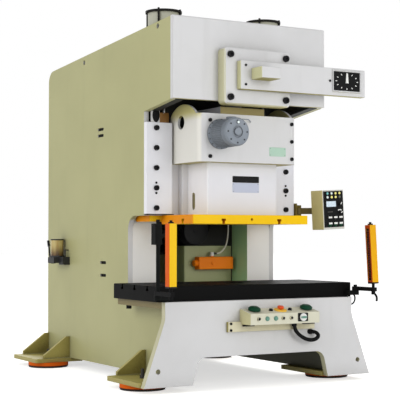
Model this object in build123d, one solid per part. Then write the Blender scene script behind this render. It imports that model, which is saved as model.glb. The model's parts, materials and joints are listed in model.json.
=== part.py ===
from build123d import *
import math
import os

# Gap-frame stamping press with a front-to-back crankshaft, in millimetres.
# While it is built, x = 0 is the middle plane, y = 0 is the face where the
# gib plates meet the guides, and z = 0 is the floor. The front looks to -y.
# The last section moves everything so that the origin is on the floor in
# the middle of the ground that the press covers.

# Frame
frame_width = 1336
head_height = 2704
roof_fall = 152
head_reach = 415
frame_back = 1889
side_thick = 40
front_thick = 40
roof_thick = 20
roof_bend = 100
frame_bottom = 78
head_bottom = 2099
head_bottom_fall = 52
head_floor_width = 68
throat_top = 1258
throat_depth = 307
throat_corner = 110
throat_shoulder = 213
throat_wall_thick = 20
throat_wall_back = 545
throat_ceiling = 1250
column_top = 1950
bulkhead_thick = 40
lifting_holes = ((-179, 33), (1133, 52))
lifting_hole_radius = 19
vent_panels = (700, 1560)
vent_rows = 8
vent_pitch = 55
vent_length = 320
vent_height = 22
vent_inset = 368
inner_plate_thick = 20

# Bed, bolster and feet
bed_top = 637
bed_plate_thick = 47
bed_reach = 565
bed_front_thick = 50
ledge_overhang = 143
ledge_back = 190
bed_plate_back = 800
flare_start = 510
foot_overhang = 309
foot_bottom = 45
arch_height = 238
arch_half_width_low = 586
arch_half_width_high = 540
arch_corner = 80
bolster_overhang = 179
bolster_front = 510
bolster_depth = 701
bolster_thick = 111
drop_hole_radius = 80
sole_margin = 6
sole_width = 423
sole_edge = 24
front_sole_back = 30
rear_sole_front = 1385
rear_sole_back = 1910
gusset_height = 177
gusset_reach = 237
gusset_thick = 30
isolator_radius = 168
isolator_front_y = -229
isolator_rear_y = 1524
isolator_base_height = 9
stud_radius = 12

# Slots for clamping tools
slot_neck = 22
slot_neck_depth = 22
slot_head = 37
slot_head_depth = 16
bolster_slot_pitch = 200
slide_slot_x = 245
slide_cross_slot_y = -270
shank_radius = 25

# Slide and guides
stroke = 160
slide_clearance = 0.3
gib_thick = 40
gib_width = 222
gib_bottom = 1270
gib_top = 1961
liner_thick = 20
wing_bottom = 1260
wing_top = 1820
slide_inset = 319
slide_shoulder_width = 50
slide_reach = 293
slide_front_top = 1650
slide_corner = 14
pocket_half_width = 155
pocket_half_depth = 90
pocket_floor = 1610
pocket_wall = 40
pocket_top = 2072
cover_inset = 198
cover_reach = 391
cover_top = 2008
cover_hump = 82
cover_wall = 20
cover_corner = 60
cover_hole_y = -104
cover_hole_z = 1956
cover_hole_radius = 51
slide_plate_inset = 121
slide_plate_reach = 420
slide_plate_thick = 67
wing_plate_thick = 46
indicator_slot_y = -82
indicator_slot_z = 1367
indicator_slot_length = 130
indicator_slot_width = 44
adjuster_x = -257
adjuster_z = 1856
adjuster_radius = 104
adjuster_reach = 245

# Crank drive
crank_z = 2278
load_y = -160
fit_gap = 0.05
front_journal_radius = 70
middle_journal_radius = 80
rear_journal_radius = 70
pin_radius = 75
bush_wall = 15
web_radius = 115
web_thick = 50
rod_thick = 160
rod_side_gap = 10
rod_eye_wall = 48
rod_length = 500
rod_neck_radius = 60
screw_radius = 40
ball_radius = 65
rod_neck_drop = 330
front_bearing_back = -330
middle_bulkhead_y = 160
rear_bulkhead_y = 620
bearing_overhang = 20
gear_module = 10
gear_teeth = 60
pinion_teeth = 16
gear_width = 140
gear_start = 240
gear_web_thick = 50
pinion_angle = -60
pinion_shaft_radius = 45
flywheel_side_gap = 18
flywheel_width = 140
flywheel_start = 750
flywheel_rim = 80
pulley_radius = 116
motor_drop = 800
motor_radius = 165
motor_start = 950
motor_length = 380
motor_shaft_radius = 24
motor_shelf_z = 950
belt_count = 4
belt_width = 20
belt_thick = 12
belt_pitch = 31
belt_gap = 0.3

# Head fittings
flange_half_width = 290
flange_half_height = 210
flange_thick = 95
flange_corner = 36
flange_bolt_x = 243
flange_bolt_z = 157
cam_box_left = -184
cam_box_right = 954
cam_box_bottom = 2178
cam_box_top = 2390
cam_box_thick = 50
cam_box_wall = 8
encoder_left = -90
encoder_right = 75
encoder_bottom = 2251
encoder_top = 2335
encoder_reach = 140
dial_x = 774
dial_z = 2293
dial_width = 248
dial_height = 146
dial_thick = 6
pointer_length = 62
cylinder_inset = 173
cylinder_y = 127
cylinder_radius = 122
cylinder_bottom = 2480
cylinder_top = 2815
cylinder_wall = 14
cylinder_cap_radius = 141
cylinder_cap_thick = 16
tie_rod_radius = 8
balance_rod_radius = 20

# Fittings on the sides, the bed and in the throat
station_x = 103
station_half_length = 301
station_depth = 148
station_bottom = 465
station_front_top = 545
station_top = 575
station_slope_depth = 140
station_row_z = 508
station_row = (-231, -158, -85, -21, 50)
selector_offset = 152
selector_z = 510
rail_left = -310
rail_right = 446
rail_bottom = 412
rail_top = 484
rail_thick = 25
palm_spacing = 454
palm_radius = 46
palm_travel = 6
stop_travel = 6
stop_collar_radius = 46
stop_collar_height = 7
button_travel_gap = 2
stem_radius = 10
stem_depth = 28
stem_hole = 42
panel_offset = 44
panel_width = 207
panel_front = -256
panel_depth = 158
panel_bottom = 1157
panel_height = 312
panel_face_margin = 9
panel_lean = 3
panel_pivot_reach = 56
panel_pivot_y = 22
panel_arm_z = 1306
curtain_overhang = 192
curtain_y = -549
post_offset = 10
post_front = -790
post_width = 59
post_depth = 63
post_bottom = 745
post_top = 1188
right_post_lean = 3.4
tank_left = -40
tank_front = 545
tank_depth = 235
tank_height = 387
pump_left = 60
pump_width = 320
pump_bottom = 833
pump_height = 102
pump_depth = 75
jar_y = 1545
jar_reach = 62
jar_radius = 54
jar_bottom = 924
jar_height = 132
conduit_radius = 14
hose_radius = 6

# Worked out from the sizes above
half_frame = frame_width / 2
inner_half = half_frame - side_thick
ledge_half_width = half_frame + ledge_overhang
foot_half_width = half_frame + foot_overhang
sole_half_reach = foot_half_width + sole_margin
sole_inner = sole_half_reach - sole_width
isolator_x = sole_half_reach - isolator_radius
throat_half_width = inner_half - throat_shoulder
gib_inner = half_frame - gib_width
slide_half_width = inner_half - slide_inset
slide_shoulder = slide_half_width + slide_shoulder_width
cover_half_width = inner_half - cover_inset
slide_plate_half_width = inner_half - slide_plate_inset
cylinder_x = inner_half - cylinder_inset
panel_pivot_x = half_frame + panel_pivot_reach
panel_left = panel_pivot_x + panel_offset
curtain_x = half_frame + curtain_overhang
post_x = curtain_x + post_offset
head_front = -head_reach
head_inner_front = head_front + front_thick
bed_front = -bed_reach
bed_inner_front = bed_front + bed_front_thick
bed_plate_bottom = bed_top - bed_plate_thick
bolster_half = half_frame + bolster_overhang
bolster_length = 2 * bolster_half
bolster_top = bed_top + bolster_thick
bolster_middle_y = bolster_depth / 2 - bolster_front
wing_half = inner_half - liner_thick + 1.7 - slide_clearance
wing_front = gib_thick + liner_thick
wing_back = throat_depth - liner_thick - slide_clearance
throw = stroke / 2
pin_z = crank_z + throw
ball_z = pin_z - rod_length
gear_radius = gear_module * gear_teeth / 2
pinion_radius = gear_module * pinion_teeth / 2
shaft_spacing = gear_radius + pinion_radius
pinion_x = shaft_spacing * math.cos(math.radians(pinion_angle))
pinion_z = crank_z + shaft_spacing * math.sin(math.radians(pinion_angle))
motor_z = pinion_z - motor_drop
flywheel_radius = inner_half - pinion_x - flywheel_side_gap
flange_front = head_front - flange_thick
cam_box_front = flange_front - cam_box_thick
station_front = bed_front - station_depth
selector_x = station_x + selector_offset
tank_right = throat_half_width - 5


def roof_z(y):
    """Height of the sloping roof over a place along the press."""
    return head_height - (y - head_front) * roof_fall / (frame_back - head_front)


def head_floor_z(y):
    """Height of the sloping underside of the head."""
    return head_bottom - (y - head_front) * head_bottom_fall / head_reach


def block(x, y, z):
    """A block between pairs of limits."""
    size = Box(x[1] - x[0], y[1] - y[0], z[1] - z[0])
    return Pos((x[0] + x[1]) / 2, (y[0] + y[1]) / 2, (z[0] + z[1]) / 2) * size


def post(x, y, z0, z1, radius):
    """An upright cylinder."""
    return Pos(x, y, (z0 + z1) / 2) * Cylinder(radius, z1 - z0)


def shaft(x, z, y0, y1, radius):
    """A cylinder that runs front to back."""
    return Pos(x, (y0 + y1) / 2, z) * Rot(90, 0, 0) * Cylinder(radius, y1 - y0)


def pin(y, z, x0, x1, radius):
    """A cylinder that runs left to right."""
    return Pos((x0 + x1) / 2, y, z) * Rot(0, 90, 0) * Cylinder(radius, abs(x1 - x0))


def outline(points, rounds=()):
    """A flat face through the points, with some corners rounded."""
    face = make_face(Polyline(*points, close=True))
    for corner, radius in rounds:
        nearest = face.vertices().sort_by_distance(corner)[0]
        face = fillet(nearest, radius)
    return face


def across(face, x0, x1):
    """A face drawn in y and z, made solid from x0 to x1."""
    return extrude(Plane.YZ.offset(x0) * face, x1 - x0)


def along(face, y0, y1):
    """A face drawn in x and z, made solid from y0 back to y1."""
    return extrude(Plane.XZ.offset(-y1) * face, y1 - y0)


def up(face, z0, z1):
    """A face drawn in x and y, made solid from z0 to z1."""
    return extrude(Pos(0, 0, z0) * face, z1 - z0)


def both_sides(shape):
    """The shape and its mirror image across the middle plane."""
    return [shape, mirror(shape, Plane.YZ)]


def tube_y(x, z, y0, y1, outer, inner):
    """A bush that runs front to back."""
    return shaft(x, z, y0, y1, outer) - shaft(x, z, y0 - 1, y1 + 1, inner)


def screw_head(radius, height):
    """A socket screw head that stands up from its seat at the origin."""
    head = Pos(0, 0, height / 2) * Cylinder(radius, height)
    socket = extrude(RegularPolygon(radius * 0.5, 6), height * 0.6)
    return head - Pos(0, 0, height * 0.4) * socket


def front_screw(x, y, z, radius, height):
    """A socket screw head on a face that looks to the front."""
    return Pos(x, y, z) * Rot(90, 0, 0) * screw_head(radius, height)


def clamp_slot(length):
    """Cutter for a T-slot along x, open upwards at z = 0."""
    neck = Pos(0, 0, -slot_neck_depth / 2) * Box(length, slot_neck, slot_neck_depth)
    head_z = -slot_neck_depth - slot_head_depth / 2
    return neck + Pos(0, 0, head_z) * Box(length, slot_head, slot_head_depth)


parts = {}


# Frame plates
def side_plate_outline():
    corner = (frame_back, roof_z(frame_back))
    throat = (throat_depth, throat_top)
    points = [
        (head_inner_front, roof_z(head_inner_front)),
        corner,
        (frame_back, frame_bottom),
        (bed_inner_front, frame_bottom),
        (bed_inner_front, bed_plate_bottom),
        (throat_depth, bed_plate_bottom),
        throat,
        (gib_thick, throat_top),
        (gib_thick, head_floor_z(gib_thick)),
        (head_inner_front, head_floor_z(head_inner_front)),
    ]
    return outline(points, [(corner, roof_bend), (throat, throat_corner)])


def side_plate():
    plate = across(side_plate_outline(), inner_half, half_frame)
    cable_slot_length = 110
    cable_slot_height = 24
    for y, drop in lifting_holes:
        plate -= pin(y, roof_z(y) - drop, inner_half - 1, half_frame + 1, lifting_hole_radius)
    slot = SlotOverall(cable_slot_length, cable_slot_height)
    for y, z in (
        (805, head_bottom - 133),
        (805, head_bottom - 184),
        (755, bed_top + 255),
        (755, bed_top + 153),
    ):
        plate -= across(Pos(y, z) * slot, inner_half - 1, half_frame + 1)
    return plate


right_side, left_side = both_sides(side_plate())
parts["right_side_plate"] = right_side
parts["left_side_plate"] = left_side

spigot_radius = front_journal_radius + bush_wall + 55
head_plate = block(
    (-half_frame, half_frame),
    (head_front, head_inner_front),
    (head_bottom, roof_z(head_front)),
)
head_plate -= shaft(0, crank_z, head_front - 1, head_inner_front + 1, spigot_radius)
top_edge = head_plate.edges().filter_by(Axis.X).sort_by(Axis.Z)[-2:].sort_by(Axis.Y)[0]
head_plate = chamfer(top_edge, 8)
parts["head_front_plate"] = head_plate


def roof_plate():
    """The roof and the bent edge at the back, rolled as one sheet."""
    low = roof_z(frame_back) - 2 * roof_bend
    front = head_inner_front
    back = frame_back
    outer_points = [(front, low), (front, roof_z(front)), (back, roof_z(back)), (back, low)]
    outer = outline(outer_points, [((back, roof_z(back)), roof_bend)])
    inner_back = back - roof_thick
    inner_corner = (inner_back, roof_z(inner_back) - roof_thick)
    inner_points = [
        (front - 1, low - 1),
        (front - 1, roof_z(front - 1) - roof_thick),
        inner_corner,
        (inner_back, low - 1),
    ]
    inner = outline(inner_points, [(inner_corner, roof_bend - roof_thick)])
    sheet = across(outer - inner, -inner_half, inner_half)
    for x in (-cylinder_x, cylinder_x):
        sheet -= post(x, cylinder_y, low, head_height + 1, cylinder_cap_radius + 2)
    return sheet


parts["roof_plate"] = roof_plate()


def rear_cover():
    """The plate that closes the back, with two panels of air slots."""
    top = roof_z(frame_back) - 2 * roof_bend
    cover = block((-inner_half, inner_half), (frame_back - roof_thick, frame_back), (frame_bottom, top))
    slot = SlotOverall(vent_length, vent_height)
    for low in vent_panels:
        for row in range(vent_rows):
            for x in (vent_inset - inner_half, inner_half - vent_inset):
                hole = Pos(x, low + row * vent_pitch) * slot
                cover -= along(hole, frame_back - roof_thick - 1, frame_back + 1)
    return cover


parts["rear_cover"] = rear_cover()


def bulkhead(y, bottom, crank_bore, crank_boss):
    """A crown wall that carries the crankshaft and the pinion shaft."""
    back = y + bulkhead_thick
    wall = block((-inner_half, inner_half), (y, back), (bottom, roof_z(back) - roof_thick))
    boss_front = y - bearing_overhang
    boss_back = back + bearing_overhang
    pinion_bore = pinion_shaft_radius + bush_wall
    wall += shaft(0, crank_z, boss_front, boss_back, crank_boss)
    wall += shaft(pinion_x, pinion_z, boss_front, boss_back, pinion_bore + 25)
    wall -= shaft(0, crank_z, boss_front - 1, boss_back + 1, crank_bore)
    wall -= shaft(pinion_x, pinion_z, boss_front - 1, boss_back + 1, pinion_bore)
    return wall


def inner_plates():
    """Plates welded inside the frame: head floor, bulkheads, shelves and throat ceiling."""
    middle = bulkhead(middle_bulkhead_y, wing_top + 30, middle_journal_radius + bush_wall, 130)
    for x in (-cylinder_x, cylinder_x):
        middle -= post(x, cylinder_y, cylinder_bottom, head_height, cylinder_cap_radius + 4)
    rear = bulkhead(rear_bulkhead_y, throat_ceiling, rear_journal_radius + bush_wall, 120)
    floor_back = gib_thick
    floor_points = [
        (head_inner_front, head_floor_z(head_inner_front)),
        (floor_back, head_floor_z(floor_back)),
        (floor_back, head_floor_z(floor_back) + inner_plate_thick),
        (head_inner_front, head_floor_z(head_inner_front) + inner_plate_thick),
    ]
    floor = across(outline(floor_points), inner_half - head_floor_width, inner_half)
    shelf = block(
        (cylinder_x - cylinder_cap_radius - 20, inner_half),
        (cylinder_y - cylinder_cap_radius - 10, middle_bulkhead_y),
        (cylinder_bottom - inner_plate_thick, cylinder_bottom),
    )
    shelf -= post(cylinder_x, cylinder_y, 0, head_height, balance_rod_radius + 3)
    motor_shelf = block(
        (-inner_half, inner_half),
        (motor_start - 20, motor_start + motor_length + 60),
        (motor_shelf_z, motor_shelf_z + inner_plate_thick),
    )
    ceiling = block(
        (-inner_half, inner_half),
        (throat_depth + front_thick, rear_bulkhead_y + bulkhead_thick),
        (throat_ceiling - inner_plate_thick, throat_ceiling),
    )
    return [middle, rear, motor_shelf, ceiling] + both_sides(floor) + both_sides(shelf)


parts["inner_plates"] = inner_plates()

column_front = block(
    (throat_half_width, inner_half),
    (throat_depth, throat_depth + front_thick),
    (bed_top, column_top),
)
column_wall = block(
    (throat_half_width, throat_half_width + throat_wall_thick),
    (throat_depth + front_thick, throat_wall_back),
    (bed_top, throat_ceiling - inner_plate_thick),
)
parts["column_plates"] = both_sides(column_front) + both_sides(column_wall)


# Bed, bolster and feet
def bed_front_plate():
    """The front of the bed, flared into two feet with an arch between them."""
    right = [
        (ledge_half_width, bed_top),
        (ledge_half_width, flare_start),
        (foot_half_width, foot_bottom),
        (arch_half_width_low, foot_bottom),
        (arch_half_width_high, arch_height),
    ]
    left = [(-x, z) for x, z in reversed(right)]
    rounds = []
    for side in (-1, 1):
        rounds.append(((side * ledge_half_width, flare_start), 150))
        rounds.append(((side * arch_half_width_high, arch_height), arch_corner))
    plate = along(outline(right + left, rounds), bed_front, bed_inner_front)
    tie_hole_x = foot_half_width - 111
    for x in (-tie_hole_x, tie_hole_x):
        plate -= shaft(x, foot_bottom + 111, bed_front - 1, bed_inner_front + 1, 18)
    return plate


parts["bed_front_plate"] = bed_front_plate()

bed_plate_levels = (bed_plate_bottom, bed_top)
bed_plate = block((-ledge_half_width, ledge_half_width), (bed_inner_front, ledge_back), bed_plate_levels)
bed_plate += block((-half_frame, half_frame), (ledge_back, throat_depth), bed_plate_levels)
bed_plate += block((-inner_half, inner_half), (throat_depth, bed_plate_back), bed_plate_levels)
bed_plate -= post(0, bolster_middle_y, bed_plate_bottom - 1, bed_top + 1, drop_hole_radius + 20)
parts["bed_top_plate"] = bed_plate

bolster = block(
    (-bolster_half, bolster_half),
    (-bolster_front, bolster_depth - bolster_front),
    (bed_top, bolster_top),
)
bolster = chamfer(bolster.edges().filter_by(Axis.Z), 6)
bolster = chamfer(bolster.faces().sort_by(Axis.Z)[-1].edges(), 4)
for step in (-1, 0, 1):
    slot_y = bolster_middle_y + step * bolster_slot_pitch
    bolster -= Pos(0, slot_y, bolster_top) * clamp_slot(bolster_length + 2)
bolster -= post(0, bolster_middle_y, bed_top - 1, bolster_top + 1, drop_hole_radius)
parts["bolster_plate"] = bolster


def foot_bracket(y0, y1, stud_y, gusset_fronts):
    """A sole plate with its gussets, welded to the side of the frame."""
    corners = [
        (sole_inner, y0),
        (sole_half_reach, y0),
        (sole_half_reach, y1),
        (sole_inner, y1),
    ]
    rounds = [(corners[1], sole_edge), (corners[2], sole_edge)]
    foot = up(outline(corners, rounds), foot_bottom, frame_bottom)
    foot -= post(isolator_x, stud_y, foot_bottom - 1, frame_bottom + 1, stud_radius + 0.5)
    gusset = outline([
        (half_frame, frame_bottom),
        (half_frame + gusset_reach, frame_bottom),
        (half_frame + gusset_reach, frame_bottom + 26),
        (half_frame + 34, frame_bottom + gusset_height),
        (half_frame, frame_bottom + gusset_height),
    ])
    for front in gusset_fronts:
        foot += along(gusset, front, front + gusset_thick)
    return foot


front_foot = foot_bracket(
    bed_inner_front,
    front_sole_back,
    isolator_front_y,
    [front_sole_back - gusset_thick],
)
rear_foot = foot_bracket(
    rear_sole_front,
    rear_sole_back,
    isolator_rear_y,
    [rear_sole_front + 17, frame_back - gusset_thick],
)
parts["foot_brackets"] = both_sides(front_foot) + both_sides(rear_foot)

isolator_pads = []
isolator_bases = []
nut_radius = 24
nut_height = 22
stud_top = frame_bottom + nut_height + 46
for side in (-1, 1):
    for y in (isolator_front_y, isolator_rear_y):
        place = Pos(side * isolator_x, y, 0)
        pad = post(0, 0, isolator_base_height, foot_bottom, isolator_radius)
        pad -= post(0, 0, 0, foot_bottom + 1, stud_radius)
        base = post(0, 0, 0, isolator_base_height, isolator_radius - 4)
        base = chamfer(base.edges().sort_by(Axis.Z)[-1], 4)
        base += post(0, 0, 0, stud_top, stud_radius)
        base += Pos(0, 0, frame_bottom) * extrude(RegularPolygon(nut_radius, 6), nut_height)
        isolator_pads.append(place * pad)
        isolator_bases.append(place * base)
parts["isolator_pads"] = isolator_pads
parts["isolator_bases"] = isolator_bases

# Guides
gib = block((gib_inner, half_frame), (0, gib_thick), (gib_bottom, gib_top))
gib = chamfer(gib.edges().filter_by(Axis.Z).sort_by(Axis.Y)[:2], 4)
parts["gib_plates"] = both_sides(gib)

front_liner = block(
    (gib_inner + 10, inner_half - 40),
    (gib_thick, wing_front - slide_clearance),
    (gib_bottom, gib_top + 79),
)
back_liner = block(
    (throat_half_width + 20, inner_half - 40),
    (wing_back + slide_clearance, throat_depth),
    (gib_bottom, column_top - 20),
)
side_liner = block(
    (wing_half + slide_clearance, inner_half),
    (wing_front + 30, wing_back - 30),
    (gib_bottom, wing_top + 20),
)
liners = both_sides(front_liner) + both_sides(back_liner) + both_sides(side_liner)
parts["guide_liners"] = liners


# Slide
def slide_body():
    right = [
        (slide_half_width, -slide_reach),
        (slide_half_width, 0),
        (slide_shoulder, 0),
        (slide_shoulder, wing_front),
        (wing_half, wing_front),
        (wing_half, wing_back),
    ]
    left = [(-x, y) for x, y in reversed(right)]
    rounds = [((side * slide_half_width, -slide_reach), slide_corner) for side in (-1, 1)]
    plan = outline(right + left, rounds)
    body = up(plan, wing_bottom, slide_front_top)
    wings = block((-wing_half, wing_half), (wing_front, wing_back), (slide_front_top, wing_top))
    tower_half = pocket_half_width + pocket_wall
    tower_front = load_y - pocket_half_depth - pocket_wall
    tower = block((-tower_half, tower_half), (tower_front, wing_front), (slide_front_top, pocket_top))
    body = body + wings + tower
    body -= block(
        (-pocket_half_width, pocket_half_width),
        (load_y - pocket_half_depth, load_y + pocket_half_depth),
        (pocket_floor, pocket_top + 1),
    )
    core_inner = 210
    core = block(
        (core_inner, wing_half - 60),
        (wing_front + 45, wing_back - 45),
        (wing_bottom + 60, wing_top + 1),
    )
    for cut in both_sides(core):
        body -= cut
    indicator = Pos(indicator_slot_y, indicator_slot_z)
    indicator *= SlotOverall(indicator_slot_length, indicator_slot_width, rotation=90)
    body -= across(indicator, -slide_half_width - 1, -slide_half_width + 12)
    return body


parts["slide_body"] = slide_body()


def rounded_front(half_width, front, back, radius):
    """A plan with a square back and two rounded front corners."""
    corners = [(-half_width, front), (half_width, front), (half_width, back), (-half_width, back)]
    return outline(corners, [(corners[0], radius), (corners[1], radius)])


def cover_side_outline(top):
    """The cover seen from the side, with the humped top of its cheeks."""
    hump_front = -cover_reach + cover_corner
    middle = (hump_front + wing_front) / 2
    base = Line((hump_front, cover_top), (hump_front, slide_front_top))
    low = Line((hump_front, slide_front_top), (wing_front, slide_front_top))
    back = Line((wing_front, slide_front_top), (wing_front, cover_top))
    hump = ThreePointArc((wing_front, cover_top), (middle, top), (hump_front, cover_top))
    return make_face([base, low, back, hump])


def slide_cover():
    """The hollow cover over the slide's top, open above for the connecting rod."""
    outer = rounded_front(cover_half_width, -cover_reach, wing_front, cover_corner)
    inner = rounded_front(
        cover_half_width - cover_wall,
        -cover_reach + cover_wall,
        wing_front + 1,
        cover_corner - cover_wall,
    )
    shell = up(outer, slide_front_top, cover_top)
    hump = cover_side_outline(cover_top + cover_hump)
    for cheek in both_sides(across(hump, cover_half_width - cover_wall, cover_half_width)):
        shell += cheek
    shell -= up(inner, slide_front_top + cover_wall, cover_top + cover_hump)
    tower_half = pocket_half_width + pocket_wall + 1
    tower_front = load_y - pocket_half_depth - pocket_wall - 1
    shell -= block(
        (-tower_half, tower_half),
        (tower_front, wing_front + 1),
        (slide_front_top - 1, cover_top),
    )
    hole = Pos(cover_hole_y, cover_hole_z) * Circle(cover_hole_radius)
    shell -= across(hole, -cover_half_width - 1, -cover_half_width + cover_wall + 1)
    return shell


parts["slide_cover"] = slide_cover()


def slide_plate():
    """The plate under the slide that tools are clamped to."""
    plate_bottom = wing_bottom - slide_plate_thick
    plate = block(
        (-slide_plate_half_width, slide_plate_half_width),
        (-slide_plate_reach, wing_front),
        (plate_bottom, wing_bottom),
    )
    plate = chamfer(plate.edges().filter_by(Axis.Z).sort_by(Axis.Y)[:2], 5)
    plate += block(
        (-wing_half, wing_half),
        (wing_front, wing_back),
        (wing_bottom - wing_plate_thick, wing_bottom),
    )
    under = Pos(0, 0, plate_bottom) * Rot(180, 0, 0)
    slot_length = 2 * (slide_plate_reach + wing_front)
    for x in (-slide_slot_x, slide_slot_x):
        plate -= under * Pos(x, 0, 0) * Rot(0, 0, 90) * clamp_slot(slot_length)
    plate -= under * Pos(0, -slide_cross_slot_y, 0) * clamp_slot(2 * slide_plate_half_width + 2)
    plate -= post(0, load_y, plate_bottom - 1, wing_bottom + 1, shank_radius)
    plate -= shaft(0, plate_bottom + 34, -slide_plate_reach - 1, load_y, 9)
    return plate


parts["slide_plate"] = slide_plate()


def adjusting_drive():
    """The geared motor on the cover that turns the ball screw for slide height."""
    y0 = -cover_reach
    profile = [
        (0, 0),
        (adjuster_radius + 8, 0),
        (adjuster_radius + 8, 16),
        (adjuster_radius - 4, 24),
        (adjuster_radius - 4, adjuster_reach - 60),
        (adjuster_radius, adjuster_reach - 52),
        (adjuster_radius, adjuster_reach - 12),
        (adjuster_radius - 10, adjuster_reach),
        (44, adjuster_reach),
        (40, adjuster_reach - 6),
        (30, adjuster_reach - 6),
        (26, adjuster_reach + 8),
        (0, adjuster_reach + 8),
    ]
    housing = revolve(outline(profile), Axis.Y)
    housing = Pos(adjuster_x, y0, adjuster_z) * Rot(180, 0, 0) * housing
    cap_x = adjuster_x + 42
    cap_y = y0 - 90
    cap_top_z = adjuster_z + adjuster_radius + 18
    cap = chamfer(post(cap_x, cap_y, adjuster_z + 60, cap_top_z, 40).edges().sort_by(Axis.Z)[-1], 6)
    sight_glass = shaft(adjuster_x + 2, adjuster_z + 68, y0 - adjuster_reach - 8, y0 - adjuster_reach + 4, 11)
    pipe_z = cap_top_z - 12
    route = Polyline((cap_x + 30, cap_y, pipe_z), (cap_x + 150, cap_y, pipe_z), (cap_x + 226, y0 + 4, pipe_z - 8))
    pipe_path = fillet(route.vertices().sort_by(Axis.X)[1], 30)
    start = Plane(origin=(cap_x + 30, cap_y, pipe_z), z_dir=(1, 0, 0))
    pipe = sweep(start * Circle(3.5), path=pipe_path)
    pipe -= block((cap_x + 160, cap_x + 250), (y0, y0 + 12), (pipe_z - 30, pipe_z + 30))
    return housing + cap + sight_glass + pipe


parts["adjusting_drive"] = adjusting_drive()

slide_bolts = []
cover_bolt_top = cover_top - 51
cover_bolt_low = slide_front_top + 40
cover_bolt_middle = (cover_bolt_top + cover_bolt_low) / 2
left_bolt_x = -cover_half_width + 85
right_bolt_x = cover_half_width - 52
for x, z in (
    (left_bolt_x, cover_bolt_top),
    (left_bolt_x, cover_bolt_low),
    (right_bolt_x, cover_bolt_top),
    (right_bolt_x, cover_bolt_middle),
    (right_bolt_x, cover_bolt_low),
):
    slide_bolts.append(front_screw(x, -cover_reach, z, 14, 10))
parts["slide_bolts"] = slide_bolts

cylinder_bore = cylinder_radius - cylinder_wall
piston_top = cylinder_top - 40
balance_rods = []
for x in (-cylinder_x, cylinder_x):
    rod = post(x, cylinder_y, wing_top, piston_top, balance_rod_radius)
    rod += post(x, cylinder_y, piston_top - 40, piston_top, cylinder_bore - slide_clearance)
    foot = post(x, cylinder_y, wing_top, wing_top + 24, 38)
    balance_rods.append(rod + foot)
parts["balance_rods"] = balance_rods


# Crank drive
def crankshaft():
    pin_front = load_y - rod_thick / 2 - rod_side_gap
    pin_back = load_y + rod_thick / 2 + rod_side_gap
    web_front = pin_front - web_thick
    web_back = pin_back + web_thick
    front_end = flange_front + 6
    gear_end = gear_start + gear_width
    crank = shaft(0, crank_z, front_end, web_front, front_journal_radius)
    crank += shaft(0, crank_z, flange_front - 38, front_end, 34)
    crank += shaft(0, crank_z, cam_box_front - 90, flange_front - 38, 14)
    web = Pos(0, crank_z + throw / 2) * SlotCenterToCenter(throw, 2 * web_radius, rotation=90)
    for y in (web_front, pin_back):
        crank += along(web, y, y + web_thick)
    crank += shaft(0, pin_z, pin_front, pin_back, pin_radius)
    crank += shaft(0, crank_z, web_back, gear_end, middle_journal_radius)
    crank += shaft(0, crank_z, gear_end, rear_bulkhead_y + bulkhead_thick + 30, rear_journal_radius)
    return crank


parts["crankshaft"] = crankshaft()


def gear_outline(teeth, turn):
    """Involute teeth drawn from three points on each flank, with a little backlash."""
    pitch = gear_module * teeth / 2
    base = pitch * math.cos(math.radians(20))
    root = pitch - 1.15 * gear_module
    tip = pitch + 0.9 * gear_module
    backlash = 0.6
    half_tooth = math.pi / (2 * teeth) - backlash / (2 * pitch)

    def flank_angle(radius):
        pressure = math.acos(min(1, base / radius))
        at_pitch = math.tan(math.radians(20)) - math.radians(20)
        return half_tooth + at_pitch - (math.tan(pressure) - pressure)

    low = max(base, root)
    radii = [low, (low + tip) / 2, tip]
    points = []
    for tooth in range(teeth):
        middle = math.radians(turn) + 2 * math.pi * tooth / teeth
        left = [(radius, middle - flank_angle(radius)) for radius in radii]
        right = [(radius, middle + flank_angle(radius)) for radius in reversed(radii)]
        if root < low:
            left.insert(0, (root, middle - flank_angle(low)))
            right.append((root, middle + flank_angle(low)))
        points += [(r * math.cos(a), r * math.sin(a)) for r, a in left + right]
    return outline(points)


def main_gear():
    """The large gear on the crankshaft, webbed and pierced."""
    gear_end = gear_start + gear_width
    wheel = along(Pos(0, crank_z) * gear_outline(gear_teeth, 0), gear_start, gear_end)
    rim_inner = gear_radius - 60
    hub_outer = middle_journal_radius + 50
    recess = (gear_width - gear_web_thick) / 2
    for y in (gear_start - 1, gear_end - recess):
        wheel -= tube_y(0, crank_z, y, y + recess + 1, rim_inner, hub_outer)
    for angle in range(0, 360, 60):
        hole_x = 185 * math.cos(math.radians(angle))
        hole_z = crank_z + 185 * math.sin(math.radians(angle))
        wheel -= shaft(hole_x, hole_z, gear_start, gear_end, 42)
    return wheel - shaft(0, crank_z, gear_start - 1, gear_end + 1, middle_journal_radius)


parts["main_gear"] = main_gear()


def connecting_rod():
    """The rod with its split eye on the crank pin and its threaded neck below."""
    y0 = load_y - rod_thick / 2
    y1 = load_y + rod_thick / 2
    eye = pin_radius + rod_eye_wall
    neck_z = pin_z - rod_neck_drop
    rod = shaft(0, pin_z, y0, y1, eye)
    shank = [
        (-eye + 8, pin_z - 30),
        (-rod_neck_radius, neck_z + 110),
        (rod_neck_radius, neck_z + 110),
        (eye - 8, pin_z - 30),
    ]
    rod += along(outline(shank), y0 + 18, y1 - 18)
    rod += post(0, load_y, neck_z, neck_z + 150, rod_neck_radius)
    for x in (-eye + 6, eye - 6):
        lug = block((x - 22, x + 22), (y0 + 22, y1 - 22), (pin_z - 34, pin_z + 34))
        rod += lug
    rod -= shaft(0, pin_z, y0 - 1, y1 + 1, pin_radius + fit_gap)
    return rod - post(0, load_y, neck_z - 1, neck_z + 110, screw_radius)


parts["connecting_rod"] = connecting_rod()

screw = post(0, load_y, ball_z, pin_z - rod_neck_drop + 100, screw_radius)
parts["adjusting_screw"] = screw + Pos(0, load_y, ball_z) * Sphere(ball_radius)

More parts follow.
